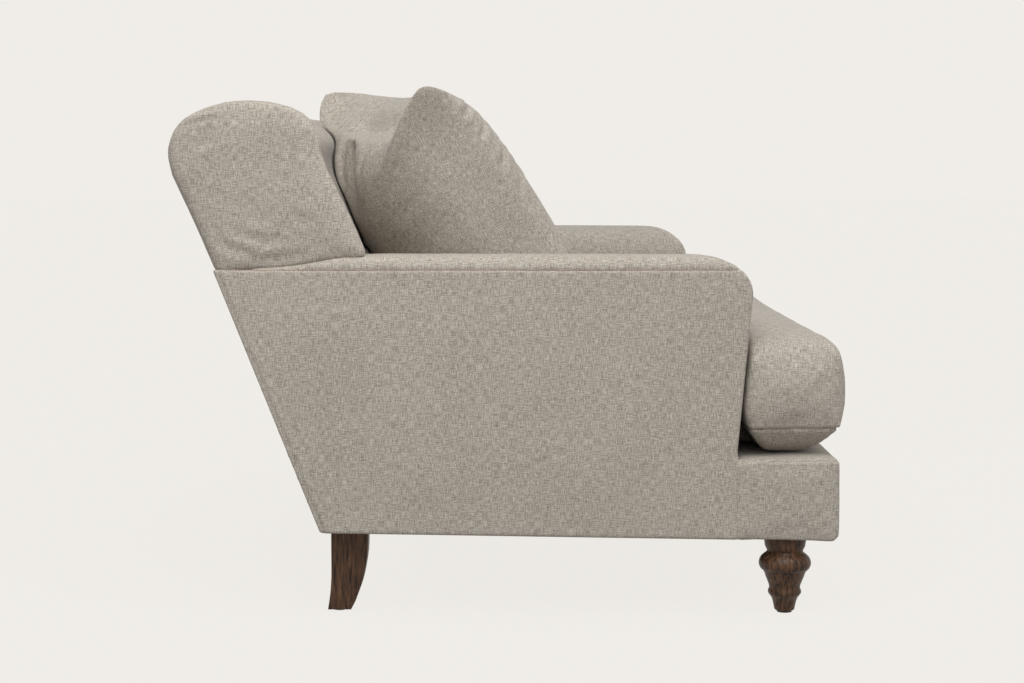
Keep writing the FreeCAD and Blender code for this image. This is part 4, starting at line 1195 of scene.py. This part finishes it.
legs = {
    "front": (0.655, -0.4455),
    "turned": [(0.1226, 0.0337), (0.1149, 0.0334), (0.1075, 0.0322), (0.1035, 0.0302), (0.0996, 0.0286),
               (0.0972, 0.0300), (0.0940, 0.0342), (0.0905, 0.0380), (0.0860, 0.0408), (0.0810, 0.0420),
               (0.0765, 0.0415), (0.0722, 0.0396), (0.0690, 0.0366), (0.0683, 0.0347), (0.0662, 0.0341),
               (0.0640, 0.0326), (0.0610, 0.0318), (0.0555, 0.0298), (0.0500, 0.0276), (0.0450, 0.0256),
               (0.0406, 0.0247), (0.0382, 0.0250), (0.0364, 0.0262), (0.0335, 0.0268), (0.0305, 0.0262),
               (0.0280, 0.0244), (0.0258, 0.0226), (0.0232, 0.0208), (0.0180, 0.0190), (0.0120, 0.0176),
               (0.0075, 0.0168), (0.0050, 0.0163), (0.0036, 0.0154), (0.0030, 0.0141)],
    "sides": 56,
    "rearX": 0.635,
    "rearEdge": [(0.2850, 0.1334), (0.2852, 0.110), (0.2852, 0.084), (0.2855, 0.057), (0.2870, 0.033),
                 (0.2892, 0.016)],
    "foreEdge": [(0.2478, 0.014), (0.2445, 0.022), (0.2375, 0.041), (0.2335, 0.055), (0.2308, 0.068),
                 (0.2282, 0.083), (0.2266, 0.097), (0.2258, 0.115), (0.2255, 0.1334)],
    "topHalf": 0.023,
    "toeHalf": 0.019,
}


def makeFrontLegs():
    cx, cy = legs["front"]
    turns = [i / legs["sides"] * 2 * math.pi for i in range(legs["sides"])]
    for side, name in ((-1, "frontLeg_right"), (1, "frontLeg_left")):
        loops = []
        for z, radius in legs["turned"]:
            loops.append([(side * cx + radius * math.cos(t), cy + radius * math.sin(t), z) for t in turns])
        piece = loftPiece(name, loops)
        bpy.ops.object.shade_smooth_by_angle(angle=math.radians(32))
        finishHard(piece, legWood, "frame", ["front_legs"])
    print("stage: front legs made")


def makeRearLegs():
    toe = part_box("rear_leg_right")[0].z
    rear = [tuple(p)[1:] for p in curved([(0, y, z) for y, z in legs["rearEdge"]] + [(0, 0.2915, toe)], 4)]
    fore = [tuple(p)[1:] for p in curved([(0, 0.2540, toe)] + [(0, y, z) for y, z in legs["foreEdge"]], 4)]
    outline = fore + rear
    piece = sideProfile("rearLeg_right", outline, -legs["rearX"] - 1, -legs["rearX"] + 1)
    points = readPoints(piece)
    half = legs["toeHalf"] + (legs["topHalf"] - legs["toeHalf"]) * points[:, 2] / 0.1334
    points[:, 0] = -legs["rearX"] + np.sign(points[:, 0] + legs["rearX"]) * half
    writePoints(piece, points)
    bevelEdges(piece, lambda a, b: (a.x + legs["rearX"]) * (b.x + legs["rearX"]) > 0, 0.0028, 3)
    bpy.ops.object.shade_smooth_by_angle(angle=math.radians(32))
    finishHard(piece, legWood, "frame", ["rear_leg_right"])
    twin = mirrored(piece, "rearLeg_left")
    finishHard(twin, legWood, "frame", ["rear_leg_left"])
    print("stage: rear legs made")


armPiece = makeArm()
panelPiece = makeOutsidePanel()
makeStitches((armPiece, panelPiece))
makeBorder()
backPiece = makeBack()
makeOutsideBack()
seatPiece = makeSeatCushion()
makeScatter(backPiece, seatPiece)
makeFrontLegs()
makeRearLegs()


# Materials of the pieces taken over from the frame

bySlot = {
    "linen_cover": linenFinish,
    "padding": foam,
    "lining_cloth": lining,
    "webbing": webbing,
    "zip_tape": zipTape,
    "frame_hardwood": beech,
    "board": fibreboard,
    "stained_leg_wood": legWood,
    "zinc_steel": zinc,
    "glide_plastic": nylon,
}


def paintFrame():
    slots = {part["node"]: part["material_slot"] for part in frame["record"]["subparts"]}
    for node, piece in frame["nodes"].items():
        for place in piece.material_slots:
            place.material = bySlot[slots[node]]


# Camera, light and background

view = {
    "place": (-3.95, -0.006, 0.7368),
    "pitch": 5.194,
    "lens": 72.9,
    "background": (240, 237, 232),
    "fill": 0.55,
    "sun": 1.05,
    "sunFrom": (-0.50, -0.34, 1.05),
    "softness": 50,
    "softbox": 30,
    "boxSize": 1.6,
    "boxPlace": (-2.1, 0.15, 2.3),
    "boxAim": (-0.5, 0, 0.5),
    "floor": (0.34, 0.335, 0.325, 1.0),
    "floorShare": 0.92,        # of the floor that is background rather than lit
    "floorLift": 1.045,
}


def makeCamera():
    camera = bpy.data.objects.new("camera", bpy.data.cameras.new("camera"))
    bpy.context.scene.collection.objects.link(camera)
    camera.location = view["place"]
    camera.rotation_euler = (math.radians(90 - view["pitch"]), 0, math.radians(-90))
    camera.data.lens = view["lens"]
    camera.data.sensor_width = 36
    bpy.context.scene.camera = camera


def seenShare(tree):
    # 1 for rays that show the background itself, through glass or in a reflection too
    path = addNode(tree, "ShaderNodeLightPath")
    seen = mathNode(tree, "ADD", path.outputs["Is Camera Ray"], path.outputs["Is Glossy Ray"])
    seen = mathNode(tree, "ADD", seen, path.outputs["Is Transmission Ray"])
    return mathNode(tree, "MINIMUM", seen, 1.0)


def addLight(name, kind, energy, toLight):
    light = bpy.data.objects.new(name, bpy.data.lights.new(name, kind))
    bpy.context.scene.collection.objects.link(light)
    light.data.energy = energy
    light.rotation_euler = toLight.to_track_quat("Z", "Y").to_euler()
    return light


def blendShaders(tree, share, first, second, output):
    mix = addNode(tree, "ShaderNodeMixShader")
    for source, socket in ((share, mix.inputs[0]), (first.outputs[0], mix.inputs[1]),
                           (second.outputs[0], mix.inputs[2]), (mix.outputs[0], output.inputs["Surface"])):
        tree.links.new(source, socket)


def makeSurroundings():
    bpy.context.scene.view_settings.view_transform = "Standard"
    world = bpy.data.worlds.new("studio")
    bpy.context.scene.world = world
    world.use_nodes = True
    tree = world.node_tree
    lit = tree.nodes["Background"]
    lit.inputs["Color"].default_value = (1.0, 1.0, 1.0, 1.0)
    lit.inputs["Strength"].default_value = view["fill"]
    shown = addNode(tree, "ShaderNodeBackground")
    shown.inputs["Color"].default_value = shadeOf(*view["background"])
    shown.inputs["Strength"].default_value = 1.0
    blendShaders(tree, seenShare(tree), lit, shown, tree.nodes["World Output"])
    sun = addLight("sun", "SUN", view["sun"], Vector(view["sunFrom"]))
    sun.data.angle = math.radians(view["softness"])
    softbox = addLight("softbox", "AREA", view["softbox"], Vector(view["boxPlace"]) - Vector(view["boxAim"]))
    softbox.data.size = view["boxSize"]
    softbox.location = view["boxPlace"]


def makeFloor():
    clearAll()
    bpy.ops.mesh.primitive_plane_add(size=60, location=(0, 0, -0.0005))
    floor = bpy.context.object
    floor.name = "studioFloor"
    material, tree, shader = newMaterial("studioFloor")
    shader.inputs["Base Color"].default_value = view["floor"]
    shader.inputs["Roughness"].default_value = 0.9
    glow = addNode(tree, "ShaderNodeEmission")
    glow.inputs["Color"].default_value = shadeOf(*view["background"])
    glow.inputs["Strength"].default_value = view["floorLift"]
    seen = mathNode(tree, "MULTIPLY", seenShare(tree), view["floorShare"])
    blendShaders(tree, seen, shader, glow, tree.nodes["Material Output"])
    floor.data.materials.append(material)


paintFrame()
makeCamera()
makeSurroundings()
makeFloor()
print("stage: finishing")
